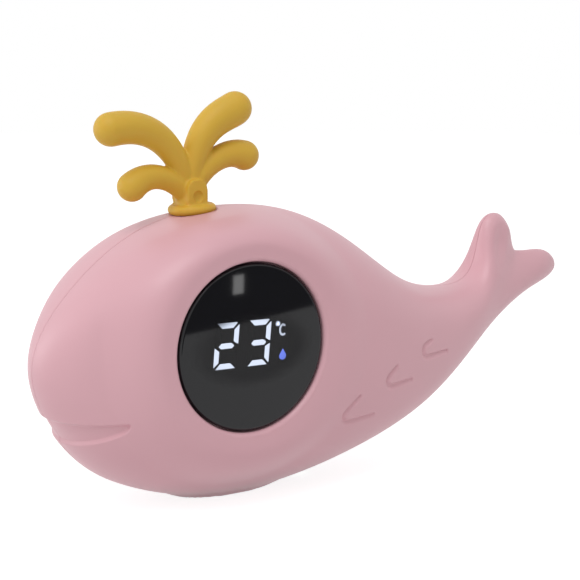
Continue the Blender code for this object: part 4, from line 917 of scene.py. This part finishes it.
def jet_solid(name, seat, points, radii):
    """Finger with a round tip: rings along a curve, bridged."""
    stations = jet_stations([seat + Vector(point) * MM for point in (JET_ROOT, *points)], radii)
    bm = bmesh.new()
    loops = []
    for i, (centre, along, radius) in enumerate(stations):
        turn = Vector((along.x, 0, along.y)).to_track_quat("Z", "Y").to_matrix().to_4x4()
        place = Matrix.Translation((centre.x, 0, centre.y)) @ turn
        ring = bmesh.ops.create_circle(bm, cap_ends=i in (0, len(stations) - 1), segments=JET_SIDES,
                                       radius=radius, matrix=place)
        loops.append(list({edge for vertex in ring["verts"] for edge in vertex.link_edges}))
    for near, far in zip(loops, loops[1:]):
        bmesh.ops.bridge_loops(bm, edges=near + far)
    return new_object(name, bm)


BARB_TIP_SHARE = 0.8
BARB_EDGE = 0.2 * MM
NECK_TOP = ((0.98, 0.0), (0.6, 1.4 * MM), (0.0, 1.8 * MM))
BOSS_SHIFT = -0.3 * MM
BOSS_HALF_WIDTH = 2.3 * MM
BOSS_CORNER_SHARE = 0.95
BOSS_TOP = 7.2 * MM
BOSS_FRONT = 3.4 * MM
DIMPLE_SIZE = (1.15 * MM, 1.25 * MM)
DIMPLE_HEIGHT = 3.7 * MM
DIMPLE_DEPTH = 0.6 * MM
MOULDED_ROUNDS = 8
DIMPLED_ROUNDS = 3


def neck_and_stem(spout):
    """Stem with its barb, bead-shaped flange and neck, spun round the stem."""
    half = spout.flange_thickness / 2
    neck = spout.neck_radius
    end = -STEM_LENGTH - BARB_LENGTH
    profile = [(0, end), (STEM_RADIUS * BARB_TIP_SHARE, end), (BARB_RADIUS, -STEM_LENGTH),
               (STEM_RADIUS, -STEM_LENGTH + BARB_EDGE), (STEM_RADIUS, 0)]
    profile += rounded((spout.flange_radius - half, half), half, -90, 130, 14)
    profile.append((neck, spout.flange_thickness))
    profile += [(neck * share, spout.neck_height + rise) for share, rise in NECK_TOP]
    return turned("whale_water_spout", profile, spout_place(spout), 64)


def neck_boss(spout):
    """Arched boss that stands out of both faces of the neck."""
    low = Vector((BOSS_SHIFT - BOSS_HALF_WIDTH, -BOSS_FRONT, spout.flange_thickness / 2))
    high = Vector((BOSS_SHIFT + BOSS_HALF_WIDTH, BOSS_FRONT, BOSS_TOP))
    boss = round_prism("boss", low, high, BOSS_HALF_WIDTH * BOSS_CORNER_SHARE)
    boss.data.transform(spout_place(spout))
    return boss


def dimple(side, spout):
    """Oval hollow in the boss."""
    place = spout_place(spout) @ Matrix.Translation((BOSS_SHIFT, side * BOSS_FRONT, DIMPLE_HEIGHT))
    stretch = Matrix.Diagonal((DIMPLE_SIZE[0], DIMPLE_DEPTH, DIMPLE_SIZE[1], 1.0))
    bm = bmesh.new()
    bmesh.ops.create_uvsphere(bm, u_segments=32, v_segments=16, radius=1.0)
    bmesh.ops.transform(bm, matrix=place @ stretch, verts=bm.verts)
    return new_object("dimple", bm)


class WHALE_OT_build_spout(bpy.types.Operator):
    """Build the silicone water spout as one moulded skin"""
    bl_idname = "bath_whale.build_spout"
    bl_label = "Build Spout"

    def execute(self, context):
        spout = context.scene.whale_spout
        seat = spout_place(spout).translation
        body = neck_and_stem(spout)
        for number, (points, radii) in enumerate(JETS, 1):
            join(body, jet_solid(f"jet_{number}", Vector((seat.x, seat.z)), points, radii))
        join(body, neck_boss(spout))
        skin = body.modifiers.new("skin", "REMESH")
        skin.mode = "VOXEL"
        skin.voxel_size = spout.grain
        soften(body, MOULDED_ROUNDS)
        apply_modifiers(body)
        for side in (-1, 1):
            cut(body, dimple(side, spout))
        soften(body, DIMPLED_ROUNDS)
        apply_modifiers(body)
        body.data.shade_smooth()
        yellow = silicone("spout_yellow", context.scene.whale_colours.spout)
        finish_piece(body, "spout_silicone", yellow, "water_spout")
        return {"FINISHED"}


# Metal contacts under the belly

CONTACT_RADII = {
    "probe_cap": 3.0 * MM,
    "water_electrode_1": 1.0 * MM,
    "water_electrode_2": 1.0 * MM,
}
CAP_END_RISE = 0.4
CAP_END_FULLNESS = 2.5
CAP_SKIN = 0.4 * MM
PIN_EDGE = 0.3 * MM
STALK_SHARE = 0.6


def flange_heights(node):
    """Underside and top of a contact's flange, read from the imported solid."""
    points = read_points(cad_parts[node].data)
    middle = middle_of(node)
    away = np.hypot(points[:, 0] - middle.x, points[:, 1] - middle.y)
    heights = points[away > CONTACT_RADII[node] + CLEARANCE, 2]
    return heights.min(), heights.max()


def cap_end(radius, low):
    """Full round end of the probe cap, from its middle outwards."""
    points = []
    for degrees in range(0, 91, 6):
        share = math.sin(math.radians(degrees))
        rise = 1 - (1 - share ** CAP_END_FULLNESS) ** (1 / CAP_END_FULLNESS)
        points.append((radius * share, low + CAP_END_RISE * radius * rise))
    return points


def cap_profile(node):
    """Thin cup with a flange, open at the top for the sensor bead."""
    low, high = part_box(node)
    seat, top = flange_heights(node)
    radius = CONTACT_RADII[node]
    collar = (high.x - low.x) / 2
    inner = radius - CAP_SKIN
    flange = [(radius, seat), (collar, seat), (collar, top), (radius, top)]
    return [*cap_end(radius, low.z), *flange, (radius, high.z), (inner, high.z),
            *reversed(cap_end(inner, low.z + CAP_SKIN))]


def pin_profile(node):
    """Round pin with a flange and a thinner stalk for its wire."""
    low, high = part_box(node)
    seat, top = flange_heights(node)
    radius = CONTACT_RADII[node]
    collar = (high.x - low.x) / 2
    stalk = radius * STALK_SHARE
    foot = rounded((radius - PIN_EDGE, low.z + PIN_EDGE), PIN_EDGE, 270, 360, 6)
    return [(0, low.z), *foot, (radius, seat), (collar, seat), (collar, top), (stalk, top),
            (stalk, high.z), (0, high.z)]


class WHALE_OT_build_contacts(bpy.types.Operator):
    """Build the probe cap and the two water contacts under the belly"""
    bl_idname = "bath_whale.build_contacts"
    bl_label = "Build Contacts"

    def execute(self, context):
        metal = brushed_metal("contact_steel", linear(200, 199, 196), roughness=0.26,
                              stretch=Vector((1200, 1200, 9000)))
        for node in CONTACT_RADII:
            profile = cap_profile(node) if node == "probe_cap" else pin_profile(node)
            place = Matrix.Translation((middle_of(node).x, 0, 0))
            finish_piece(turned("whale_" + node, profile, place, 72), "probe_steel", metal, node)
        return {"FINISHED"}


# Finishes

BLACK = (0, 0, 0, 1)
WHITE = (1, 1, 1, 1)
BAND_START = 9 * MM


class Strand:
    """A node's output that takes part in sums and products."""

    def __init__(self, recipe, socket):
        self.recipe = recipe
        self.socket = socket

    def __add__(self, other):
        return self.recipe.calculate("ADD", self, other)

    def __radd__(self, other):
        return self.recipe.calculate("ADD", other, self)

    def __sub__(self, other):
        return self.recipe.calculate("SUBTRACT", self, other)

    def __rsub__(self, other):
        return self.recipe.calculate("SUBTRACT", other, self)

    def __mul__(self, other):
        return self.recipe.calculate("MULTIPLY", self, other)

    def __rmul__(self, other):
        return self.recipe.calculate("MULTIPLY", other, self)


class Recipe:
    """Node tree of a material or of the world, written one node at a time."""

    def __init__(self, holder):
        self.holder = holder
        holder.use_nodes = True
        self.tree = holder.node_tree
        self.tree.nodes.clear()

    def node(self, kind, settings=None, inputs=None, output=0):
        made = self.tree.nodes.new(kind)
        for key, value in (settings or {}).items():
            setattr(made, key, value)
        for key, value in (inputs or {}).items():
            if isinstance(value, Strand):
                self.tree.links.new(value.socket, made.inputs[key])
            else:
                made.inputs[key].default_value = value
        return Strand(self, made.outputs[output]) if made.outputs else None

    def calculate(self, operation, first, second):
        return self.node("ShaderNodeMath", {"operation": operation}, {0: first, 1: second})

    def place(self):
        return self.node("ShaderNodeTexCoord", output="Object")

    def noise(self, cell, detail):
        """Cloudy value from 0 to 1 with a cell size in metres."""
        inputs = {"Vector": self.place(), "Scale": 1.0 / cell, "Detail": detail}
        return self.node("ShaderNodeTexNoise", {}, inputs)

    def blend(self, share, first, second):
        """Colour between two colours."""
        inputs = {0: share, 6: (*first, 1.0), 7: (*second, 1.0)}
        return self.node("ShaderNodeMix", {"data_type": "RGBA"}, inputs, output=2)

    def bump(self, height, depth, strength):
        inputs = {"Height": height, "Distance": depth, "Strength": strength}
        return self.node("ShaderNodeBump", {}, inputs)

    def show(self, shader):
        """Send a shader to the material's output."""
        self.node("ShaderNodeOutputMaterial", {}, {"Surface": shader})
        return self.holder

    def finish(self, inputs):
        return self.show(self.node("ShaderNodeBsdfPrincipled", {}, inputs))


def material_recipe(name):
    return Recipe(bpy.data.materials.new(name))


def darker(colour, share):
    return tuple(value * share for value in colour)


def satin_plastic(name, colour):
    """Moulded plastic with a fine satin texture and a faint cloudiness."""
    recipe = material_recipe(name)
    cloud = recipe.noise(18 * MM, detail=2.0)
    grain = recipe.noise(0.16 * MM, detail=2.0)
    wear = recipe.noise(6 * MM, detail=4.0)
    base = recipe.blend(cloud, darker(colour, 0.97), darker(colour, 1.02))
    return recipe.finish({
        "Base Color": base,
        "Roughness": 0.36 + wear * 0.08,
        "Normal": recipe.bump(grain, 0.004 * MM, strength=0.5),
        "IOR": 1.5,
    })


def silicone(name, colour):
    """Soft matte silicone rubber."""
    recipe = material_recipe(name)
    cloud = recipe.noise(9 * MM, detail=3.0)
    grain = recipe.noise(0.11 * MM, detail=3.0)
    base = recipe.blend(cloud, darker(colour, 0.95), darker(colour, 1.03))
    return recipe.finish({
        "Base Color": base,
        "Roughness": 0.47 + cloud * 0.1,
        "Normal": recipe.bump(grain, 0.006 * MM, strength=0.6),
        "Subsurface Weight": 0.12,
        "Subsurface Scale": 1.5 * MM,
        "IOR": 1.42,
    })


WINDOW_HALF_SIZE = (12.0 * MM, 6.5 * MM)
WINDOW_EDGE = 0.25


def smoked_plastic(name, colour, opacity):
    """Polished dark plastic, printed black on its back except round the digits."""
    recipe = material_recipe(name)
    haze = recipe.noise(7 * MM, detail=3.0)
    middle = Vector((LENS_MIDDLE.x, 0, LENS_MIDDLE.z))
    shares = Vector((1 / WINDOW_HALF_SIZE[0], 0, 1 / WINDOW_HALF_SIZE[1]))
    from_middle = recipe.node("ShaderNodeVectorMath", {"operation": "SUBTRACT"},
                              {0: recipe.place(), 1: middle})
    across = recipe.node("ShaderNodeVectorMath", {"operation": "MULTIPLY"}, {0: from_middle, 1: shares})
    reach = recipe.node("ShaderNodeVectorMath", {"operation": "LENGTH"}, {0: across}, output="Value")
    printed = recipe.node("ShaderNodeMapRange", {"interpolation_type": "SMOOTHSTEP"}, {
        "Value": reach, "From Min": 1.0 - WINDOW_EDGE, "From Max": 1.0 + WINDOW_EDGE,
        "To Min": opacity, "To Max": 1.0,
    })
    return recipe.finish({
        "Base Color": recipe.blend(haze, darker(colour, 0.9), darker(colour, 1.1)),
        "Roughness": 0.03 + haze * 0.03,
        "IOR": 1.42,
        "Alpha": printed,
    })


def lit_plastic(name, colour, glow):
    """Translucent bar lit from behind."""
    recipe = material_recipe(name)
    haze = recipe.noise(1.2 * MM, detail=2.0)
    return recipe.finish({
        "Base Color": recipe.blend(haze, darker(colour, 0.8), colour),
        "Roughness": 0.4 + haze * 0.1,
        "Emission Color": recipe.blend(haze, darker(colour, 0.94), colour),
        "Emission Strength": glow,
    })


CLOUD_CELLS = 30


def moulded(name, colour, roughness, cell, depth):
    """Plain moulded or rubber surface with grain."""
    recipe = material_recipe(name)
    grain = recipe.noise(cell, detail=3.0)
    cloud = recipe.noise(cell * CLOUD_CELLS, detail=2.0)
    return recipe.finish({
        "Base Color": recipe.blend(cloud, darker(colour, 0.9), darker(colour, 1.05)),
        "Roughness": roughness - 0.05 + grain * 0.1,
        "Normal": recipe.bump(grain, depth, strength=0.5),
    })


def brushed_metal(name, colour, roughness, stretch):
    """Metal with fine marks drawn out along one direction."""
    recipe = material_recipe(name)
    place = recipe.node("ShaderNodeMapping", {}, {"Vector": recipe.place(), "Scale": stretch})
    marks = recipe.node("ShaderNodeTexNoise", {}, {"Vector": place, "Scale": 1.0, "Detail": 3.0})
    return recipe.finish({
        "Base Color": recipe.blend(marks, darker(colour, 0.88), colour),
        "Roughness": roughness - 0.05 + marks * 0.12,
        "Metallic": 1.0,
        "Normal": recipe.bump(marks, 0.003 * MM, strength=0.4),
    })


def board_lacquer(name):
    """Green lacquer over copper traces."""
    recipe = material_recipe(name)
    upright = {"Vector": recipe.place(), "Rotation": (math.pi / 2, 0, 0)}
    traces = recipe.node("ShaderNodeTexBrick", {"offset": 0.5}, {
        "Vector": recipe.node("ShaderNodeMapping", {}, upright),
        "Scale": 160.0, "Mortar Size": 0.06,
        "Color1": BLACK, "Color2": BLACK, "Mortar": WHITE,
    })
    haze = recipe.noise(3 * MM, detail=3.0)
    return recipe.finish({
        "Base Color": recipe.blend(traces, linear(20, 92, 52), linear(38, 128, 70)),
        "Roughness": 0.32 + haze * 0.1,
        "Normal": recipe.bump(traces, 0.03 * MM, strength=0.6),
    })


def cell_jacket(name):
    """Plain printed jacket with a light band towards the positive end."""
    recipe = material_recipe(name)
    split = recipe.node("ShaderNodeSeparateXYZ", {}, {"Vector": recipe.place()})
    band = recipe.calculate("GREATER_THAN", split, middle_of("battery_cell_1").x + BAND_START)
    scuffs = recipe.noise(1.5 * MM, detail=5.0)
    return recipe.finish({
        "Base Color": recipe.blend(band, linear(48, 54, 62), linear(176, 180, 184)),
        "Roughness": 0.25 + scuffs * 0.15,
        "Metallic": 0.6,
    })


def dress(material, *nodes):
    """Give frame pieces a finish."""
    for node in nodes:
        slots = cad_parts[node].data.materials
        slots.clear()
        slots.append(material)


# Moulded pieces inside. Each row: finish, its display colour, roughness, cell and depth of
# the grain in millimetres, and the pieces that get it.
MOULDED_PIECES = (
    ("mask_black", (16, 16, 18), 0.55, 0.15, 0.01, ("display_mask",)),
    ("tray_black", (30, 30, 32), 0.5, 0.3, 0.02, ("battery_tray",)),
    ("reflector_white", (232, 232, 228), 0.45, 0.3, 0.01, ("led_housing", "wire_connector")),
    ("segment_dark", (24, 25, 28), 0.5, 0.2, 0.005,
     ("tens_dark_upper", "tens_dark_lower", "units_dark_upper", "units_dark_lower")),
    ("chip_clear", (226, 214, 150), 0.2, 0.5, 0.01, ("led_chip_1", "led_chip_2", "led_chip_3")),
    ("resin_black", (22, 22, 24), 0.6, 0.08, 0.01, ("control_chip", "thermistor")),
    ("seal_grey", (92, 92, 94), 0.75, 0.2, 0.02, ("door_seal", "lens_gasket")),
    ("wire_red", (170, 32, 26), 0.45, 0.3, 0.01, ("probe_wire", "battery_wire_1")),
    ("wire_black", (26, 26, 28), 0.45, 0.3, 0.01,
     ("electrode_wire_1", "electrode_wire_2", "battery_wire_2")),
)

# Metal pieces inside. Each row: finish, its display colour, roughness, fineness of the marks
# along each axis, and the pieces that get it.
METAL_PIECES = (
    ("contact_plate", (202, 202, 198), 0.24, (4000, 400, 400),
     ("spring_contact", "plus_contact", "bridge_contact")),
    ("screw_zinc", (190, 190, 186), 0.3, (900, 900, 900),
     ("board_screw_1", "board_screw_2", "board_screw_3")),
    ("can_aluminium", (205, 206, 208), 0.28, (500, 4000, 500), ("capacitor",)),
)


class WHALE_OT_finish_inner_parts(bpy.types.Operator):
    """Give every piece inside the whale its own finish"""
    bl_idname = "bath_whale.finish_inner_parts"
    bl_label = "Finish Inner Parts"

    def execute(self, context):
        for name, colour, roughness, cell, depth, pieces in MOULDED_PIECES:
            dress(moulded(name, linear(*colour), roughness, cell * MM, depth * MM), *pieces)
        for name, colour, roughness, stretch, pieces in METAL_PIECES:
            dress(brushed_metal(name, linear(*colour), roughness, Vector(stretch)), *pieces)
        dress(board_lacquer("board_green"), "main_board")
        dress(cell_jacket("cell_jacket"), "battery_cell_1", "battery_cell_2")
        return {"FINISHED"}


# Studio

FLOOR_HALF = 1.6
FLOOR_LIT_GREY = 0.8
FLOOR_SEEN_GREY = 0.42
FLOOR_SEEN_GLOW = 0.84

DISC_PIXEL = (253.6, 347.9)
IMAGE_SIZE = 580
SENSOR_WIDTH = 36.0
CLIP_START = 0.01

# The two reflection cards stand along one line on the floor, in metres. The dark card
# passes both ends of the line, the lamp card stands on a piece of it, a step off.
CARD_NEAR = Vector((62.1 * MM, -207.9 * MM, 0))
CARD_FAR = Vector((136.4 * MM, -228.3 * MM, 0))
CARD_STEP = 0.001
DARK_CARD_PAST = (0.12, 0.2)
DARK_CARD_HEIGHTS = (0.0005, 0.16)
DARK_CARD_STRENGTH = 0.2
LAMP_CARD_SPAN = (0.0157, 0.0244)
LAMP_CARD_HEIGHTS = (0.0166, 0.0266)
LAMP_CARD_STRENGTH = 4.6

# Place, aim and diameter of each lamp, in metres.
SOFT_LAMP = ((-0.38, -0.24, 0.74), (-0.01, 0, 0.03), 0.5)
SIDE_LAMP = ((-0.55, 0.38, 0.16), (-0.05, 0, 0.03), 0.35)


def view_directions(studio):
    """Right, up and forward of the camera."""
    turn = studio.azimuth
    lift = studio.elevation
    right = Vector((math.cos(turn), -math.sin(turn), 0))
    forward = Vector((math.sin(turn) * math.cos(lift), math.cos(turn) * math.cos(lift), -math.sin(lift)))
    up = right.cross(forward)
    cosine = math.cos(studio.roll)
    sine = math.sin(studio.roll)
    return cosine * right + sine * up, cosine * up - sine * right, forward


def add_camera(studio):
    """Camera that puts the middle of the lens's face on its place in the photograph."""
    right, up, forward = view_directions(studio)
    focal_pixels = studio.focal_length / SENSOR_WIDTH * IMAGE_SIZE
    disc = Vector((LENS_MIDDLE.x, LENS_FRONT, LENS_MIDDLE.z))
    aside = (DISC_PIXEL[0] - IMAGE_SIZE / 2) / focal_pixels
    below = (DISC_PIXEL[1] - IMAGE_SIZE / 2) / focal_pixels
    place = disc - (forward + right * aside - up * below) * studio.distance
    lens = bpy.data.cameras.new("camera")
    lens.lens = studio.focal_length
    lens.sensor_width = SENSOR_WIDTH
    lens.clip_start = CLIP_START
    camera = link("camera", lens)
    camera.matrix_world = Matrix((
        (right.x, up.x, -forward.x, place.x),
        (right.y, up.y, -forward.y, place.y),
        (right.z, up.z, -forward.z, place.z),
        (0, 0, 0, 1),
    ))
    bpy.context.scene.camera = camera


def seen_directly(recipe):
    """1 for camera, glossy and transmission rays, else 0."""
    camera, glossy, through = (
        recipe.node("ShaderNodeLightPath", output=f"Is {kind} Ray")
        for kind in ("Camera", "Glossy", "Transmission"))
    return recipe.calculate("MAXIMUM", camera, recipe.calculate("MAXIMUM", glossy, through))


def matte(recipe, grey):
    return recipe.node("ShaderNodeBsdfDiffuse", {}, {"Color": (grey, grey, grey, 1)})


def glowing(recipe, strength):
    return recipe.node("ShaderNodeEmission", {}, {"Color": WHITE, "Strength": strength})


def floor_material():
    """Pale matte floor that reads white and still takes the object's shadow."""
    recipe = material_recipe("floor_white")
    seen = recipe.node("ShaderNodeAddShader", {},
                       {0: matte(recipe, FLOOR_SEEN_GREY), 1: glowing(recipe, FLOOR_SEEN_GLOW)})
    return recipe.show(recipe.node("ShaderNodeMixShader", {}, {
        0: seen_directly(recipe), 1: matte(recipe, FLOOR_LIT_GREY), 2: seen,
    }))


def card_material(name, strength):
    recipe = material_recipe(name)
    return recipe.show(glowing(recipe, strength))


def flat_sheet(name, size, place, material):
    """Flat sheet of the studio, one face."""
    bm = bmesh.new()
    bmesh.ops.create_grid(bm, x_segments=1, y_segments=1, size=size, matrix=place)
    mesh = make_mesh(name, bm)
    mesh.materials.append(material)
    return link(name, mesh)


def add_card(name, start, end, heights, strength):
    """Upright card between two places on the floor, seen only in reflections."""
    along = end - start
    middle = (start + end) / 2
    bottom, top = heights
    turn = Matrix.Rotation(math.atan2(along.y, along.x), 4, "Z") @ Matrix.Rotation(math.radians(90), 4, "X")
    place = Matrix.Translation((middle.x, middle.y, (bottom + top) / 2)) @ turn
    stretch = Matrix.Diagonal((along.length, top - bottom, 1.0, 1.0))
    card = flat_sheet(name, 0.5, place @ stretch, card_material(name, strength))
    card.visible_camera = False
    card.visible_diffuse = False
    card.visible_transmission = False
    card.visible_shadow = False


def add_lamp(name, place, aim, size, power):
    light = bpy.data.lights.new(name, "AREA")
    light.shape = "DISK"
    light.size = size
    light.energy = power
    lamp = link(name, light)
    way = Vector(aim) - Vector(place)
    lamp.matrix_world = Matrix.Translation(place) @ way.to_track_quat("-Z", "Y").to_matrix().to_4x4()


def fill_world(strength):
    """Even studio light, with white where the background is seen."""
    world = bpy.data.worlds.new("studio")
    bpy.context.scene.world = world
    recipe = Recipe(world)
    level = strength + seen_directly(recipe) * (1.0 - strength)
    sky = recipe.node("ShaderNodeBackground", {}, {"Color": WHITE, "Strength": level})
    recipe.node("ShaderNodeOutputWorld", {}, {"Surface": sky})


class WHALE_OT_set_stage(bpy.types.Operator):
    """Set the floor, the lights, the reflection cards and the camera"""
    bl_idname = "bath_whale.set_stage"
    bl_label = "Set Stage"

    def execute(self, context):
        studio = context.scene.whale_studio
        floor = flat_sheet("floor", FLOOR_HALF, Matrix.Identity(4), floor_material())
        reach = (CARD_FAR - CARD_NEAR).normalized()
        add_card("dark_card", CARD_NEAR - reach * DARK_CARD_PAST[0], CARD_FAR + reach * DARK_CARD_PAST[1],
                 DARK_CARD_HEIGHTS, DARK_CARD_STRENGTH)
        step = Vector((reach.y, -reach.x, 0)) * -CARD_STEP
        start, end = (CARD_NEAR + reach * away + step for away in LAMP_CARD_SPAN)
        add_card("lamp_card", start, end, LAMP_CARD_HEIGHTS, LAMP_CARD_STRENGTH)
        fill_world(studio.fill)
        add_lamp("soft_lamp", *SOFT_LAMP, studio.lamp_power)
        add_lamp("side_lamp", *SIDE_LAMP, studio.side_power)
        add_camera(studio)
        context.scene.view_settings.view_transform = "Standard"
        return {"FINISHED"}


class WHALE_PT_sidebar(bpy.types.Panel):
    """Sizes, colours and build steps of the bath whale"""
    bl_idname = "WHALE_PT_sidebar"
    bl_label = "Bath Whale"
    bl_space_type = "VIEW_3D"
    bl_region_type = "UI"
    bl_category = "Bath Whale"

    def draw(self, context):
        layout = self.layout
        for group in GROUPS:
            box = layout.box()
            settings = getattr(context.scene, group)
            for name in settings.bl_rna.properties.keys():
                if name not in ("rna_type", "name"):
                    box.prop(settings, name)
        for step in STEPS:
            layout.operator(step.bl_idname)


GROUPS = {
    "whale_shell": ShellSizes,
    "whale_display": DisplaySizes,
    "whale_spout": SpoutSizes,
    "whale_colours": FinishColours,
    "whale_studio": StudioSettings,
}
STEPS = (
    WHALE_OT_build_shells,
    WHALE_OT_build_battery_door,
    WHALE_OT_build_display,
    WHALE_OT_build_spout,
    WHALE_OT_build_contacts,
    WHALE_OT_finish_inner_parts,
    WHALE_OT_set_stage,
)


def register():
    for group, kind in GROUPS.items():
        bpy.utils.register_class(kind)
        setattr(bpy.types.Scene, group, PointerProperty(type=kind))
    for step in STEPS:
        bpy.utils.register_class(step)
    bpy.utils.register_class(WHALE_PT_sidebar)


def unregister():
    bpy.utils.unregister_class(WHALE_PT_sidebar)
    for step in reversed(STEPS):
        bpy.utils.unregister_class(step)
    for group, kind in GROUPS.items():
        delattr(bpy.types.Scene, group)
        bpy.utils.unregister_class(kind)


def main():
    register()
    bpy.ops.bath_whale.build_shells()
    bpy.ops.bath_whale.build_battery_door()
    bpy.ops.bath_whale.build_display()
    bpy.ops.bath_whale.build_spout()
    bpy.ops.bath_whale.build_contacts()
    bpy.ops.bath_whale.finish_inner_parts()
    bpy.ops.bath_whale.set_stage()


if __name__ == "__main__":
    main()
